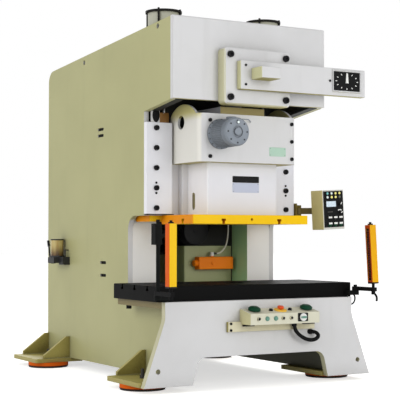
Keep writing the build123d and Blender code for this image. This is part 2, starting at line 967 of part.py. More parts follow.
pinion_end = gear_start + gear_width
flywheel_end = flywheel_start + flywheel_width
pinion = along(
    Pos(pinion_x, pinion_z) * gear_outline(pinion_teeth, pinion_angle + 180 + 180 / pinion_teeth),
    gear_start,
    pinion_end,
)
pinion += shaft(pinion_x, pinion_z, middle_bulkhead_y - 40, flywheel_end + 10, pinion_shaft_radius)
parts["pinion_shaft"] = pinion


def grooved_wheel(x, z, radius, start, bore):
    """A wheel around the origin of its shaft, with a groove for each belt."""
    wheel = tube_y(x, z, start, start + flywheel_width, radius, bore)
    first = start + (flywheel_width - (belt_count - 1) * belt_pitch) / 2
    for number in range(belt_count):
        middle = first + number * belt_pitch
        half = belt_width / 2 + belt_gap
        groove_floor = radius - belt_thick + 3
        wheel -= tube_y(x, z, middle - half, middle + half, radius + 1, groove_floor)
    return wheel


def flywheel():
    wheel = grooved_wheel(pinion_x, pinion_z, flywheel_radius, flywheel_start, pinion_shaft_radius)
    web_half = 40
    middle = flywheel_start + flywheel_width / 2
    rim_inner = flywheel_radius - flywheel_rim
    hub = pinion_shaft_radius + 55
    wheel -= tube_y(pinion_x, pinion_z, flywheel_start - 1, middle - web_half, rim_inner, hub)
    wheel -= tube_y(pinion_x, pinion_z, middle + web_half, flywheel_end + 1, rim_inner, hub)
    return wheel


parts["flywheel"] = flywheel()

pulley = grooved_wheel(pinion_x, motor_z, pulley_radius, flywheel_start, motor_shaft_radius)
pulley += shaft(pinion_x, motor_z, flywheel_start - 6, motor_start + 60, motor_shaft_radius)
parts["motor_pulley"] = pulley


def drive_belts():
    """The belts from the motor pulley to the flywheel, each one a closed loop."""
    first = flywheel_start + (flywheel_width - (belt_count - 1) * belt_pitch) / 2
    loops = []
    for number in range(belt_count):
        middle = first + number * belt_pitch
        faces = []
        for shift in (3 + belt_gap, 3 + belt_gap - belt_thick):
            big = Pos(pinion_x, pinion_z) * Circle(flywheel_radius + shift)
            small = Pos(pinion_x, motor_z) * Circle(pulley_radius + shift)
            faces.append(make_hull(big.edges() + small.edges()))
        loop = along(faces[0] - faces[1], middle - belt_width / 2, middle + belt_width / 2)
        loops.append(loop)
    return loops


parts["drive_belts"] = drive_belts()


def drive_motor():
    """The main motor on its shelf, with cooling ribs and a terminal box."""
    back = motor_start + motor_length
    body = shaft(pinion_x, motor_z, motor_start, back, motor_radius - 14)
    rib_count = 20
    for number in range(rib_count):
        angle = 360 / rib_count * (number + 0.5)
        rib = block((motor_radius - 20, motor_radius), (motor_start + 24, back - 60), (-4, 4))
        body += Pos(pinion_x, 0, motor_z) * Rot(0, angle, 0) * rib
    body += shaft(pinion_x, motor_z, back - 60, back, motor_radius - 4)
    shelf_top = motor_shelf_z + inner_plate_thick
    for y in (motor_start + 50, back - 130):
        body += block((pinion_x - 130, pinion_x + 130), (y, y + 60), (shelf_top, motor_z - 110))
    body += block(
        (pinion_x - 60, pinion_x + 60),
        (motor_start + 80, motor_start + 220),
        (motor_z + 120, motor_z + 205),
    )
    bore = motor_shaft_radius + fit_gap
    return body - shaft(pinion_x, motor_z, motor_start - 1, motor_start + 70, bore)


parts["drive_motor"] = drive_motor()

bush_places = [
    (0, crank_z, flange_front, front_bearing_back, front_journal_radius),
    (0, crank_z, middle_bulkhead_y, middle_bulkhead_y + bulkhead_thick, middle_journal_radius),
    (0, crank_z, rear_bulkhead_y, rear_bulkhead_y + bulkhead_thick, rear_journal_radius),
    (pinion_x, pinion_z, middle_bulkhead_y, middle_bulkhead_y + bulkhead_thick, pinion_shaft_radius),
    (pinion_x, pinion_z, rear_bulkhead_y, rear_bulkhead_y + bulkhead_thick, pinion_shaft_radius),
]
bushes = []
for x, z, y0, y1, radius in bush_places:
    overhang = 0 if y0 == flange_front else bearing_overhang
    bushes.append(tube_y(x, z, y0 - overhang, y1 + overhang, radius + bush_wall, radius + fit_gap))
parts["shaft_bushes"] = bushes


# Head fittings
def bearing_flange():
    """The square housing of the front crank bearing."""
    plate = along(
        Pos(0, crank_z) * RectangleRounded(2 * flange_half_width, 2 * flange_half_height, flange_corner),
        flange_front,
        head_front,
    )
    plate = chamfer(plate.faces().sort_by(Axis.Y)[0].edges(), 10)
    plate += shaft(0, crank_z, head_front, front_bearing_back, spigot_radius - fit_gap)
    bore = front_journal_radius + bush_wall
    return plate - shaft(0, crank_z, flange_front - 1, front_bearing_back + 1, bore)


parts["bearing_flange"] = bearing_flange()


def cam_box():
    """The flat box over the crank end, with the encoder housing on its front."""
    wall = cam_box_wall
    box = block((cam_box_left, cam_box_right), (cam_box_front, flange_front), (cam_box_bottom, cam_box_top))
    box = fillet(box.edges().filter_by(Axis.Y), 8)
    box = chamfer(box.faces().sort_by(Axis.Y)[0].edges(), 3)
    front = cam_box_front - encoder_reach
    encoder = block((encoder_left, encoder_right), (front, cam_box_front), (encoder_bottom, encoder_top))
    box += chamfer(encoder.faces().sort_by(Axis.Y)[0].edges(), 3)
    box -= block(
        (cam_box_left + wall, cam_box_right - wall),
        (cam_box_front + wall, flange_front - wall),
        (cam_box_bottom + wall, cam_box_top - wall),
    )
    box -= block(
        (encoder_left + wall, encoder_right - wall),
        (front + wall, cam_box_front + wall + 1),
        (encoder_bottom + wall, encoder_top - wall),
    )
    box -= shaft(0, crank_z, flange_front - wall - 1, flange_front + 1, 40)
    return box - shaft(dial_x, dial_z, cam_box_front - 1, cam_box_front + wall + 1, 8 + fit_gap)


parts["cam_box"] = cam_box()

dial_front = cam_box_front - dial_thick
dial = along(Pos(dial_x, dial_z) * RectangleRounded(dial_width, dial_height, 8), dial_front, cam_box_front)
parts["dial_plate"] = dial - shaft(dial_x, dial_z, dial_front - 1, cam_box_front + 1, 10)

pointer_back = dial_front - 2
needle = outline([(-13, -14), (13, -14), (6, pointer_length), (-6, pointer_length)])
pointer = along(Pos(dial_x, dial_z) * needle, pointer_back - 4, pointer_back)
pointer += shaft(dial_x, dial_z, pointer_back - 7, flange_front - cam_box_wall - 6, 8)
pointer += shaft(dial_x, dial_z, cam_box_front + cam_box_wall + 4, cam_box_front + cam_box_wall + 12, 40)
parts["dial_pointer"] = pointer

barrel = post(cylinder_x, cylinder_y, cylinder_bottom, cylinder_top, cylinder_radius)
barrel -= post(cylinder_x, cylinder_y, cylinder_bottom + 14, cylinder_top - 12, cylinder_bore)
barrel -= post(cylinder_x, cylinder_y, cylinder_bottom - 1, cylinder_bottom + 15, balance_rod_radius + 0.3)
parts["balance_cylinders"] = both_sides(barrel)

cap_top = cylinder_top + cylinder_cap_thick
cylinder_cap = post(cylinder_x, cylinder_y, cylinder_top, cap_top, cylinder_cap_radius)
tie_circle = (cylinder_radius + cylinder_cap_radius) / 2
for angle in range(45, 360, 90):
    tie_x = cylinder_x + tie_circle * math.cos(math.radians(angle))
    tie_y = cylinder_y + tie_circle * math.sin(math.radians(angle))
    cylinder_cap += post(tie_x, tie_y, cylinder_bottom, cap_top + 10, tie_rod_radius)
parts["cylinder_caps"] = both_sides(cylinder_cap)

# Two-hand station on the bed
rail_front = bed_front - rail_thick
parts["station_rail"] = block((rail_left, rail_right), (rail_front, bed_front), (rail_bottom, rail_top))

slope_back = station_front + station_slope_depth
slope_rise = station_top - station_front_top
slope_angle = math.degrees(math.atan2(slope_rise, station_slope_depth))
slope_middle_y = station_front + station_slope_depth / 2
slope_middle_z = station_front_top + slope_rise / 2


def on_slope(x):
    """A place on the station's sloping top, with z away from the face."""
    return Pos(x, slope_middle_y, slope_middle_z) * Rot(slope_angle, 0, 0)


def station_box():
    """The console, with its small push buttons set in it."""
    points = [
        (bed_front, station_bottom),
        (station_front, station_bottom),
        (station_front, station_front_top),
        (slope_back, station_top),
        (bed_front, station_top),
    ]
    left = station_x - station_half_length
    right = station_x + station_half_length
    box = across(outline(points), left, right)
    box -= block((left - 1, right + 1), (rail_front, bed_front + 1), (rail_bottom, rail_top))
    for side in (-1, 1):
        box -= on_slope(station_x + side * palm_spacing / 2) * Cylinder(stem_radius + fit_gap, 2 * stem_hole)
        box += on_slope(station_x + side * 83) * Pos(0, 0, 6) * Cylinder(13, 12)
    box += on_slope(station_x) * Pos(0, 0, stop_collar_height / 2) * Cylinder(stop_collar_radius, stop_collar_height)
    box -= on_slope(station_x) * Cylinder(stem_radius + fit_gap, 2 * stem_hole)
    for offset in station_row:
        box += shaft(station_x + offset, station_row_z, station_front - 10, station_front + 1, 13)
    box += block(
        (selector_x - 42, selector_x + 42),
        (station_front - 3, station_front + 1),
        (selector_z - 30, selector_z + 30),
    )
    box -= shaft(selector_x, selector_z, station_front - 4, station_front + 30, 7 + fit_gap)
    return box


parts["palm_station_box"] = station_box()


def palm_button(x):
    """A mushroom button whose stem runs in the station's top."""
    gap = palm_travel + button_travel_gap
    stem = Pos(0, 0, (gap - stem_depth) / 2) * Cylinder(stem_radius, gap + stem_depth)
    points = [
        (0, gap),
        (palm_radius, gap),
        (palm_radius, gap + 14),
        (palm_radius - 16, gap + 26),
        (0, gap + 26),
    ]
    cap = revolve(outline(points, [(points[2], 6), (points[3], 8)]), Axis.Y)
    return on_slope(x) * (stem + Rot(90, 0, 0) * cap)


parts["left_palm_button"] = palm_button(station_x - palm_spacing / 2)
parts["right_palm_button"] = palm_button(station_x + palm_spacing / 2)

stop_gap = stop_collar_height + stop_travel + button_travel_gap
stop_stem = Pos(0, 0, (stop_gap - stem_depth) / 2) * Cylinder(stem_radius, stop_gap + stem_depth)
stop_points = [(0, stop_gap), (22, stop_gap), (26, stop_gap + 10), (20, stop_gap + 18), (0, stop_gap + 18)]
stop_cap = revolve(outline(stop_points), Axis.Y)
parts["e_stop_button"] = on_slope(station_x) * (stop_stem + Rot(90, 0, 0) * stop_cap)

selector = shaft(selector_x, selector_z, station_front - 12, station_front - 3.5, 28)
selector += shaft(selector_x, selector_z, station_front - 12, station_front + 26, 7)
selector += block(
    (selector_x - 20, selector_x + 20),
    (station_front - 24, station_front - 11),
    (selector_z - 5, selector_z + 5),
)
parts["station_selector"] = selector

conduit_points = [
    Vector(246, -617, 439),
    Vector(250, -620, 412),
    Vector(272, -622, 382),
    Vector(312, -628, 352),
    Vector(360, -632, 333),
    Vector(408, -634, 330),
    Vector(446, -632, 346),
    Vector(458, -624, 368),
    Vector(446, -610, 384),
    Vector(430, -596, 388),
    Vector(424, -582, 388),
]


def route_radii(points):
    """The largest bend at each corner that its two runs leave room for."""
    radii = []
    for before, corner, after in zip(points, points[1:], points[2:]):
        turn = (corner - before).get_angle(after - corner)
        shorter = min((corner - before).length, (after - corner).length)
        radii.append(0.45 * shorter / math.tan(math.radians(turn / 2)))
    return radii


def cord_tube(points, radius):
    """A plain tube along the route."""
    radii = route_radii(points)
    print("bend radii:", [round(value) for value in radii])
    path = FilletPolyline(*points, radius=radii)
    start = Plane(origin=points[0], z_dir=points[1] - points[0])
    return sweep(start * Circle(radius), path=path)


parts["station_conduit"] = cord_tube(conduit_points, conduit_radius)


def gland(place, toward, length):
    """A round gland whose face meets the end of a cord."""
    seat = Plane(origin=place, z_dir=toward)
    return seat * Pos(0, 0, length / 2) * Cylinder(conduit_radius + 5, length)


upper_gland = gland(conduit_points[0], conduit_points[0] - conduit_points[1], 40)
below_station = block((0, 2 * rail_right), (2 * bed_front, 0), (0, station_bottom))
upper_gland &= below_station
lower_gland = gland(conduit_points[-1], conduit_points[-1] - conduit_points[-2], 40)
lower_gland &= below_station - block((0, 2 * rail_right), (bed_front, 0), (0, station_bottom))
parts["conduit_glands"] = [upper_gland, lower_gland]

# Operator panel
panel_right = panel_left + panel_width
panel_back = panel_front + panel_depth
panel_top = panel_bottom + panel_height
panel = block((panel_left, panel_right), (panel_front, panel_back), (panel_bottom, panel_top))
panel = fillet(panel.edges().filter_by(Axis.Z), 8)
panel_joint_x = panel_left + 80
panel_seat = Pos(panel_joint_x, 0, panel_arm_z)
panel_tilt = panel_seat * Rot(0, -panel_lean, 0) * panel_seat.inverse()
parts["panel_box"] = panel_tilt * panel


def panel_face():
    """The black face with its screen, lamps, knobs and buttons."""
    margin = panel_face_margin
    face_front = panel_front - 4
    face = block(
        (panel_left + margin, panel_right - margin),
        (face_front, panel_front),
        (panel_bottom + margin + 8, panel_top - margin),
    )
    for column in (0.21, 0.405, 0.59, 0.775):
        for row in (0.085, 0.18):
            x = panel_left + column * panel_width
            z = panel_top - row * panel_height
            face += shaft(x, z, face_front - 5, face_front + 1, 12)
    for column in (0.29, 0.54, 0.79):
        for row in (0.71, 0.88):
            x = panel_left + column * panel_width
            z = panel_top - row * panel_height
            face += shaft(x, z, face_front - 7, face_front + 1, 14)
    for row in (0.36, 0.58):
        z = panel_top - row * panel_height
        face += shaft(panel_left + 0.78 * panel_width, z, face_front - 16, face_front + 1, 13)
    screen_x = (panel_left + 0.15 * panel_width, panel_left + 0.61 * panel_width)
    screen_z = (panel_top - 0.43 * panel_height, panel_top - 0.28 * panel_height)
    face += block(screen_x, (face_front - 2, face_front + 1), screen_z)
    return face


parts["panel_face"] = panel_tilt * panel_face()


def panel_arm():
    """The swing arm from its pivot to the back of the panel."""
    half_height = 25
    joint_x = panel_joint_x
    span = math.hypot(joint_x - panel_pivot_x, panel_back - panel_pivot_y)
    angle = math.degrees(math.atan2(panel_back - panel_pivot_y, joint_x - panel_pivot_x))
    bar = Pos(span / 2, 0, 0) * Box(span, 30, 2 * half_height)
    bar = Pos(panel_pivot_x, panel_pivot_y, panel_arm_z) * Rot(0, 0, angle) * bar
    bar += post(panel_pivot_x, panel_pivot_y, panel_arm_z - half_height, panel_arm_z + half_height, 26)
    bar += block(
        (joint_x - 45, joint_x + 45),
        (panel_back, panel_back + 14),
        (panel_arm_z - 45, panel_arm_z + 45),
    )
    bar -= block(
        (joint_x - 90, joint_x + 90),
        (panel_front, panel_back),
        (panel_arm_z - 60, panel_arm_z + 60),
    )
    return bar - post(panel_pivot_x, panel_pivot_y, 0, panel_arm_z + 60, 12 + fit_gap)


parts["panel_arm"] = panel_arm()


# Light curtains
arm_gap = 0.3
bracket_bottom = 652
bracket_top = 686
arm_top = 716


def curtain_bracket(side, pin_top):
    """The fixed bracket at the bolster's front corner, with its pivot pin."""
    x = side * curtain_x
    front = curtain_y - 20
    inner = side * (bolster_half - 60)
    limits = tuple(sorted((inner, x + side * 8)))
    bracket = block(limits, (front, -bolster_front), (bracket_bottom, bracket_top))
    bracket += post(x, curtain_y, bracket_bottom, bracket_top, 28)
    return bracket + post(x, curtain_y, bracket_top, pin_top, 14)


panel_bracket = block(
    (half_frame, half_frame + 14),
    (panel_pivot_y - 45, panel_pivot_y + 75),
    (panel_arm_z - 60, panel_arm_z + 60),
)
for low in (panel_arm_z - 47, panel_arm_z + 25 + arm_gap):
    ear = block(
        (half_frame, panel_pivot_x),
        (panel_pivot_y - 24, panel_pivot_y + 24),
        (low, low + 21.7),
    )
    ear += post(panel_pivot_x, panel_pivot_y, low, low + 21.7, 24)
    panel_bracket += ear
panel_bracket += post(panel_pivot_x, panel_pivot_y, panel_arm_z - 47, panel_arm_z + 47, 12)
left_rod_top = 1218
junction_block = block(
    (-curtain_x - 32, -curtain_x + 20),
    (curtain_y - 22, curtain_y + 40),
    (left_rod_top - 177, left_rod_top - 28),
)
junction_block -= post(-curtain_x, curtain_y, 0, left_rod_top + 1, 14)
hook_y = -bolster_front - 6
hook_route = Spline(
    (bolster_half - 10, hook_y, 662),
    (bolster_half + 34, hook_y, 628),
    (bolster_half + 26, hook_y, 596),
    (bolster_half - 6, hook_y, 578),
)
hook_start = Plane(origin=hook_route @ 0, z_dir=hook_route % 0)
cable_hook = sweep(hook_start * Circle(6), path=hook_route)
parts["arm_brackets"] = [
    curtain_bracket(-1, left_rod_top),
    curtain_bracket(1, arm_top + 14) + cable_hook,
    panel_bracket,
    junction_block,
]


def curtain_arm(side):
    """The arm that swings the post away from the bolster, with its clamp lever."""
    x = side * curtain_x
    end_x = side * post_x
    low = bracket_top + arm_gap
    arm = post(x, curtain_y, low, arm_top, 26)
    end_y = post_front + post_depth / 2
    arm += block((end_x - 15, end_x + 15), (end_y - 24, curtain_y), (low, arm_top))
    arm -= post(x, curtain_y, 0, arm_top + 1, 14 + fit_gap)
    arm += post(end_x, end_y, arm_top, post_bottom, 11)
    return arm + post(end_x, end_y, low - 24, low, 15)


def clamp_lever():
    """The curved lever under the right arm that locks the post's height."""
    x = post_x
    y = post_front + post_depth / 2
    z = bracket_top - 12
    route = Spline((x, y, z), (x + 26, y - 4, z - 26), (x + 24, y - 8, z - 62))
    return sweep(Plane(origin=(x, y, z), z_dir=route % 0) * Circle(8), path=route)


def curtain_post(side, lean):
    """The post with its light window and end caps."""
    x = side * post_x
    y0 = post_front
    shape = block((x - post_width / 2, x + post_width / 2), (y0, y0 + post_depth), (post_bottom, post_top))
    shape = fillet(shape.edges().filter_by(Axis.Z), 5)
    inner = x - side * post_width / 2
    window = tuple(sorted((inner - side, inner + side * 3)))
    shape -= block(window, (y0 + 14, y0 + post_depth - 14), (post_bottom + 24, post_top - 24))
    shape += post(x, y0 + post_depth / 2, post_top, post_top + 10, 20)
    shape += post(x, y0 + post_depth / 2, post_top + 10, post_top + 22, 10)
    foot = Pos(x, y0 + post_depth / 2, post_bottom)
    return foot * Rot(0, lean, 0) * foot.inverse() * shape


parts["left_curtain_arm"] = curtain_arm(-1)
parts["left_curtain_post"] = curtain_post(-1, 0)
right_post = curtain_post(1, -right_post_lean)
parts["right_curtain_arm"] = curtain_arm(1) + clamp_lever() - right_post
parts["right_curtain_post"] = right_post

# Overload protection in the throat
tank = block(
    (tank_left, tank_right),
    (tank_front, tank_front + tank_depth),
    (bed_top, bed_top + tank_height),
)
parts["oil_tank"] = chamfer(tank.edges().filter_by(Axis.Z), 6)

pump_front = tank_front - pump_depth
pump_top = pump_bottom + pump_height
pump = block((pump_left, pump_left + pump_width), (pump_front, tank_front), (pump_bottom, pump_top))
pump = fillet(pump.edges().filter_by(Axis.X), 10)
pump_middle = pump_bottom + pump_height / 2
pump += pin(tank_front - 40, pump_middle, pump_left - 34, pump_left + 1, 26)
pump += shaft(pump_left + 130, pump_middle, pump_front - 6, pump_front + 1, 15)
pump_port_x = pump_left + 136
pump_port_rise = 37
hose_y = 500
pump += post(pump_port_x, hose_y, pump_top - 1, pump_top + pump_port_rise, 13)
parts["overload_pump"] = pump

hose_points = [
    Vector(210, hose_y, 962),
    Vector(250, hose_y, 960),
    Vector(292, hose_y, 978),
    Vector(326, hose_y, 1018),
    Vector(344, hose_y, 1074),
    Vector(350, hose_y, 1134),
    Vector(352, hose_y, 1184),
    Vector(352, hose_y, throat_ceiling - inner_plate_thick),
]
parts["pump_hose"] = cord_tube(hose_points, hose_radius)


# Lubricator on the left side
def lubricator_base():
    wall = -half_frame
    jar_x = wall - jar_reach
    base = block((wall - 118, wall), (jar_y - 62, jar_y + 70), (jar_bottom - 48, jar_bottom))
    base += block((wall - 66, wall), (jar_y - 130, jar_y - 50), (jar_bottom - 62, jar_bottom + 4))
    base += post(jar_x, jar_y, jar_bottom - 10, jar_bottom + 14, jar_radius + 5)
    base += pin(jar_y + 92, jar_bottom - 36, wall - 76, wall - 40, 20)
    base += block((wall - 76, wall - 40), (jar_y + 60, jar_y + 92), (jar_bottom - 48, jar_bottom - 22))
    base += post(wall - 30, jar_y - 100, jar_bottom, jar_bottom + 62, 5)
    base += pin(jar_y - 100, jar_bottom + 62, wall - 35, wall, 5)
    return base - pin(jar_y + 92, jar_bottom - 36, wall - 200, wall, 8 + fit_gap)


parts["lubricator_base"] = lubricator_base()

jar_x = -half_frame - jar_reach
jar = post(jar_x, jar_y, jar_bottom + 14, jar_bottom + 14 + jar_height, jar_radius)
jar += post(jar_x, jar_y, jar_bottom + 14 + jar_height, jar_bottom + 24 + jar_height, jar_radius + 3)
parts["lubricator_jar"] = jar

lever_y = jar_y + 92
lever_z = jar_bottom - 36
lever_x = -half_frame - 84
lever = pin(lever_y, lever_z, lever_x - 8, -half_frame - 30, 8)
lever += pin(lever_y, lever_z, lever_x - 10, lever_x + 7, 17)
grip = Pos(lever_x, lever_y, lever_z) * Rot(-16, 0, 0)
lever += grip * Pos(0, 0, 80) * Cylinder(7, 160)
lever += grip * Pos(0, 0, 160) * Cylinder(11, 50)
parts["lubricator_lever"] = lever

# Screws in the fixed parts
frame_bolts = []
for side in (-1, 1):
    gib_screw_x = side * (gib_inner + 139)
    for row in range(5):
        frame_bolts.append(front_screw(gib_screw_x, 0, gib_top - 42 - 151 * row, 20, 16))
    for drop in (456, 534):
        frame_bolts.append(front_screw(gib_screw_x, 0, gib_top - drop, 8, 6))
    for rise in (-flange_bolt_z, flange_bolt_z):
        frame_bolts.append(front_screw(side * flange_bolt_x, flange_front, crank_z + rise, 24, 20))
    ledge_bolt = Pos(side * (ledge_half_width - 51), 104, bed_plate_bottom) * Rot(180, 0, 0)
    frame_bolts.append(ledge_bolt * extrude(RegularPolygon(22, 6), 30))
for x, z in (
    (cam_box_left + 44, cam_box_top - 34),
    (cam_box_left + 44, cam_box_bottom + 36),
    (dial_x - 156, dial_z - 3),
):
    frame_bolts.append(front_screw(x, cam_box_front, z, 9, 6))
for x0, x1 in ((-190, -95), (335, 438)):
    frame_bolts.append(block((x0, x1), (rail_front - 14, rail_front), (station_bottom - 16, station_bottom)))
for z in (rail_bottom + 12, rail_top - 12):
    frame_bolts.append(front_screw(rail_left + 22, rail_front, z, 9, 7))
parts["frame_bolts"] = frame_bolts


# Move the origin to the floor under the middle, and write one file for each part
def solids_of(shape):
    """All the solids of a part, which may be one shape or a list of shapes."""
    found = []
    for item in shape if isinstance(shape, list) else [shape]:
        found += item.solids()
    return found


solids = {name: solids_of(shape) for name, shape in parts.items()}
ground = Compound([solid for group in solids.values() for solid in group]).bounding_box()
middle_x = (ground.min.X + ground.max.X) / 2
middle_y = (ground.min.Y + ground.max.Y) / 2
print("moved by", round(-middle_x, 3), round(-middle_y, 3))
os.makedirs("parts", exist_ok=True)
for name, group in solids.items():
    moved = [Pos(-middle_x, -middle_y, 0) * solid for solid in group]
    export_step(moved[0] if len(moved) == 1 else Compound(children=moved), f"parts/{name}.step")
print(len(solids), "parts")
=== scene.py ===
# %% [markdown]
# # A gap-frame stamping press, dressed for its portrait
#
# The steel shapes of this press come from a CAD model that is already packed
# in metres. Blender adds what CAD leaves out: paint with dust and painted shade
# in its corners, the marks of a dial, lamp lenses, weld beads, a ribbed conduit
# and studio light. Each step below says what the piece is on the real machine,
# how it could be made, and why it is made this way here.

# %% Load the imported model
import json
import math

import bmesh
import bpy
from mathutils import Matrix, Vector

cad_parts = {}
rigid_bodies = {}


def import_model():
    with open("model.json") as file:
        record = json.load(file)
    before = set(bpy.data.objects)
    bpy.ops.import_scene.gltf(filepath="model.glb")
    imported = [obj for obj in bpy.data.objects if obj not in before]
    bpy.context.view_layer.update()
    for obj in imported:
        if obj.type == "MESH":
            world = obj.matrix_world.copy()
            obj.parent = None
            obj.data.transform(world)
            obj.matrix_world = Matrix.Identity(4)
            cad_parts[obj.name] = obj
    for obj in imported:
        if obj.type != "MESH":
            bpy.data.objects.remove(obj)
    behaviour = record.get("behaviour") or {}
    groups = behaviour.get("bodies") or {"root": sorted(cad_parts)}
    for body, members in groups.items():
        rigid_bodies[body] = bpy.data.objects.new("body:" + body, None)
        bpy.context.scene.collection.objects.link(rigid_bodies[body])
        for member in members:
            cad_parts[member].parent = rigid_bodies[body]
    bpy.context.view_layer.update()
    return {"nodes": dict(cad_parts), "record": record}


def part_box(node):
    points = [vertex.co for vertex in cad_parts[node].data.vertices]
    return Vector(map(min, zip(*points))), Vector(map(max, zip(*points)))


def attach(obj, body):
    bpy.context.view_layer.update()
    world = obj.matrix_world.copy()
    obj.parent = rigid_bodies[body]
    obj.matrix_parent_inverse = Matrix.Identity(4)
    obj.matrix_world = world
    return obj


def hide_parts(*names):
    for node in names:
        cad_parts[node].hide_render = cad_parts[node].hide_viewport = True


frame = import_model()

nodes = frame["nodes"]
scene = bpy.context.scene


def added(name, data):
    """A new object, linked to the scene."""
    item = bpy.data.objects.new(name, data)
    scene.collection.objects.link(item)
    return item


def shown_mesh(item):
    """What an object shows once its curve or its nodes have been worked out, as a plain mesh."""
    bpy.context.view_layer.update()
    return bpy.data.meshes.new_from_object(item.evaluated_get(bpy.context.evaluated_depsgraph_get()))


# %% [markdown]
# ## The camera
#
# The picture was taken from the press's front left, with the lens a metre
# above the floor and far away, so upright edges stay nearly upright. A long
# lens on a small turn gives that flat, catalogue look. The camera comes first.

# %% The camera
camera_data = bpy.data.cameras.new("long_lens")
camera_data.sensor_width = 36
camera_data.lens = 106.97
camera = added("long_lens", camera_data)
camera.location = (-4.7541, -8.4679, 1.0890)
camera.rotation_euler = (math.radians(91.83), 0, math.radians(-29.91))
scene.camera = camera
print("lens height above the floor:", camera.location.z)

# %% [markdown]
# ## The two cords
#
# A flexible conduit carries the wires of the two-hand station down and round
# into the bed, and a thin hose leads oil from the overload pump into the
# frame. Both are free to bend, so each is one smooth NURBS line that repeats
# the route of its CAD tube. A curve with a round bevel is the lightest way to
# give such a line its thickness, and it keeps its real length.


# %% A smooth cord from a few points
def cord_curve(name, points, radius, rings):
    """A NURBS curve with a round section; its order is set after its points."""
    data = bpy.data.curves.new(name, "CURVE")
    data.dimensions = "3D"
    data.resolution_u = 12
    data.render_resolution_u = 12
    data.bevel_depth = radius
    data.bevel_resolution = rings
    line = data.splines.new("NURBS")
    line.points.add(len(points) - 1)
    for target, point in zip(line.points, points):
        target.co = (*point, 1)
    line.order_u = 3
    line.use_endpoint_u = True
    return added(name, data)


def line_points(cord):
    """The points that Blender itself puts on a cord's middle line."""
    bare = added("bare_line", cord.data.copy())
    bare.data.bevel_depth = 0
    mesh = shown_mesh(bare)
    points = [vertex.co.copy() for vertex in mesh.vertices]
    bpy.data.meshes.remove(mesh)
    bpy.data.objects.remove(bare)
    return points


def length_of(points):
    return sum((b - a).length for a, b in zip(points, points[1:]))


# %% The station's conduit and the pump's hose
conduit_radius = 0.014
conduit_route = [
    (0.246, -1.177, 0.439), (0.250, -1.180, 0.412), (0.272, -1.182, 0.382), (0.312, -1.188, 0.352),
    (0.360, -1.192, 0.333), (0.408, -1.194, 0.330), (0.446, -1.192, 0.346), (0.458, -1.184, 0.368),
    (0.446, -1.170, 0.384), (0.430, -1.156, 0.388), (0.424, -1.142, 0.388),
]
hose_radius = 0.006
hose_y = -0.060
hose_spots = (
    (0.210, 0.962), (0.250, 0.960), (0.292, 0.978), (0.326, 1.018),
    (0.344, 1.074), (0.350, 1.134), (0.352, 1.184), (0.352, 1.230),
)
hose_route = [(x, hose_y, z) for x, z in hose_spots]
conduit = cord_curve("conduit_sleeve", conduit_route, conduit_radius - 0.0012, 4)
hose = cord_curve("pump_hose_line", hose_route, hose_radius, 3)
conduit_line = line_points(conduit)
hose_line = line_points(hose)
print("conduit:", round(length_of(conduit_line), 3), "m; hose:", round(length_of(hose_line), 3), "m")

# %% [markdown]
# ## Writing a material as sums
#
# A finish on this press is a base colour that changes a little: paint fades
# in clouds, dust and painted shade gather in corners and low down, edges
# polish bright. Each change is a mask between 0 and 1, and masks are combined
# with plain sums. The small class below lets those sums be written as Python
# expressions, and one method adds every other kind of node. Colours are
# written as a screen shows them, 0 to 255, and become linear light where
# they reach a colour socket.


# %% Values that know how to be added
def screen_colour(*levels):
    """A colour picked from a screen, 0 to 255, as the linear light that Blender mixes."""
    shares = [level / 255 for level in levels]
    return (*(c / 12.92 if c <= 0.04045 else ((c + 0.055) / 1.055) ** 2.4 for c in shares), 1)


class Flow:
    """One value on its way through a material; a sum on it adds a Math node."""

    def __init__(self, shading, socket):
        self.shading = shading
        self.socket = socket

    def sum_of(self, operation, first, second):
        return self.shading.node("Math", {0: first, 1: second}, operation=operation)

    def __add__(self, other):
        return self.sum_of("ADD", self, other)

    def __radd__(self, other):
        return self.sum_of("ADD", other, self)

    def __rsub__(self, other):
        return self.sum_of("SUBTRACT", other, self)

    def __mul__(self, other):
        return self.sum_of("MULTIPLY", self, other)

    def __rmul__(self, other):
        return self.sum_of("MULTIPLY", other, self)


finishes = {}


class Shading:
    """A tree of shader nodes, and the method that adds nodes to it."""

    def __init__(self, owner, shader_type):
        owner.use_nodes = True
        self.tree = owner.node_tree
        self.shader = next(n for n in self.tree.nodes if n.type == shader_type)

    def feed(self, socket, value):
        if isinstance(value, Flow):
            self.tree.links.new(value.socket, socket)
        else:
            on_screen = socket.type == "RGBA" and len(value) == 3
            socket.default_value = screen_colour(*value) if on_screen else value

    def node(self, kind, values=(), output=0, **settings):
        """A new node's output; values feed its sockets and settings are its own properties."""
        node = self.tree.nodes.new("ShaderNode" + kind)
        for name, value in settings.items():
            setattr(node, name, value)
        for name, value in dict(values).items():
            self.feed(node.inputs[name], value)
        return Flow(self, node.outputs[output])


class Finish(Shading):
    """One material, whose patterns follow the coordinates of the object that wears it."""

    def __init__(self, name):
        self.name = name
        self.material = bpy.data.materials.new(name)
        super().__init__(self.material, "BSDF_PRINCIPLED")
        self.place = self.node("TexCoord", output="Object")

    def surface(self, **values):
        """Feed the shader's own sockets by name, and make the finish ready for use."""
        for name, value in values.items():
            self.feed(self.shader.inputs[name.replace("_", " ").title().replace("Ior", "IOR")], value)
        finishes[self.name] = self.material


# %% Small helpers for the finishes
def scaled(colour, factor, lift=0.0):
    """A screen colour made darker or paler, in linear light."""
    return (*(min(1.0, factor * c + lift) for c in screen_colour(*colour)[:3]), 1)


def mixed(share, first, second):
    """A colour between two others, by a mask."""
    return share.shading.node("Mix", {0: share, 6: first, 7: second}, 2, data_type="RGBA")


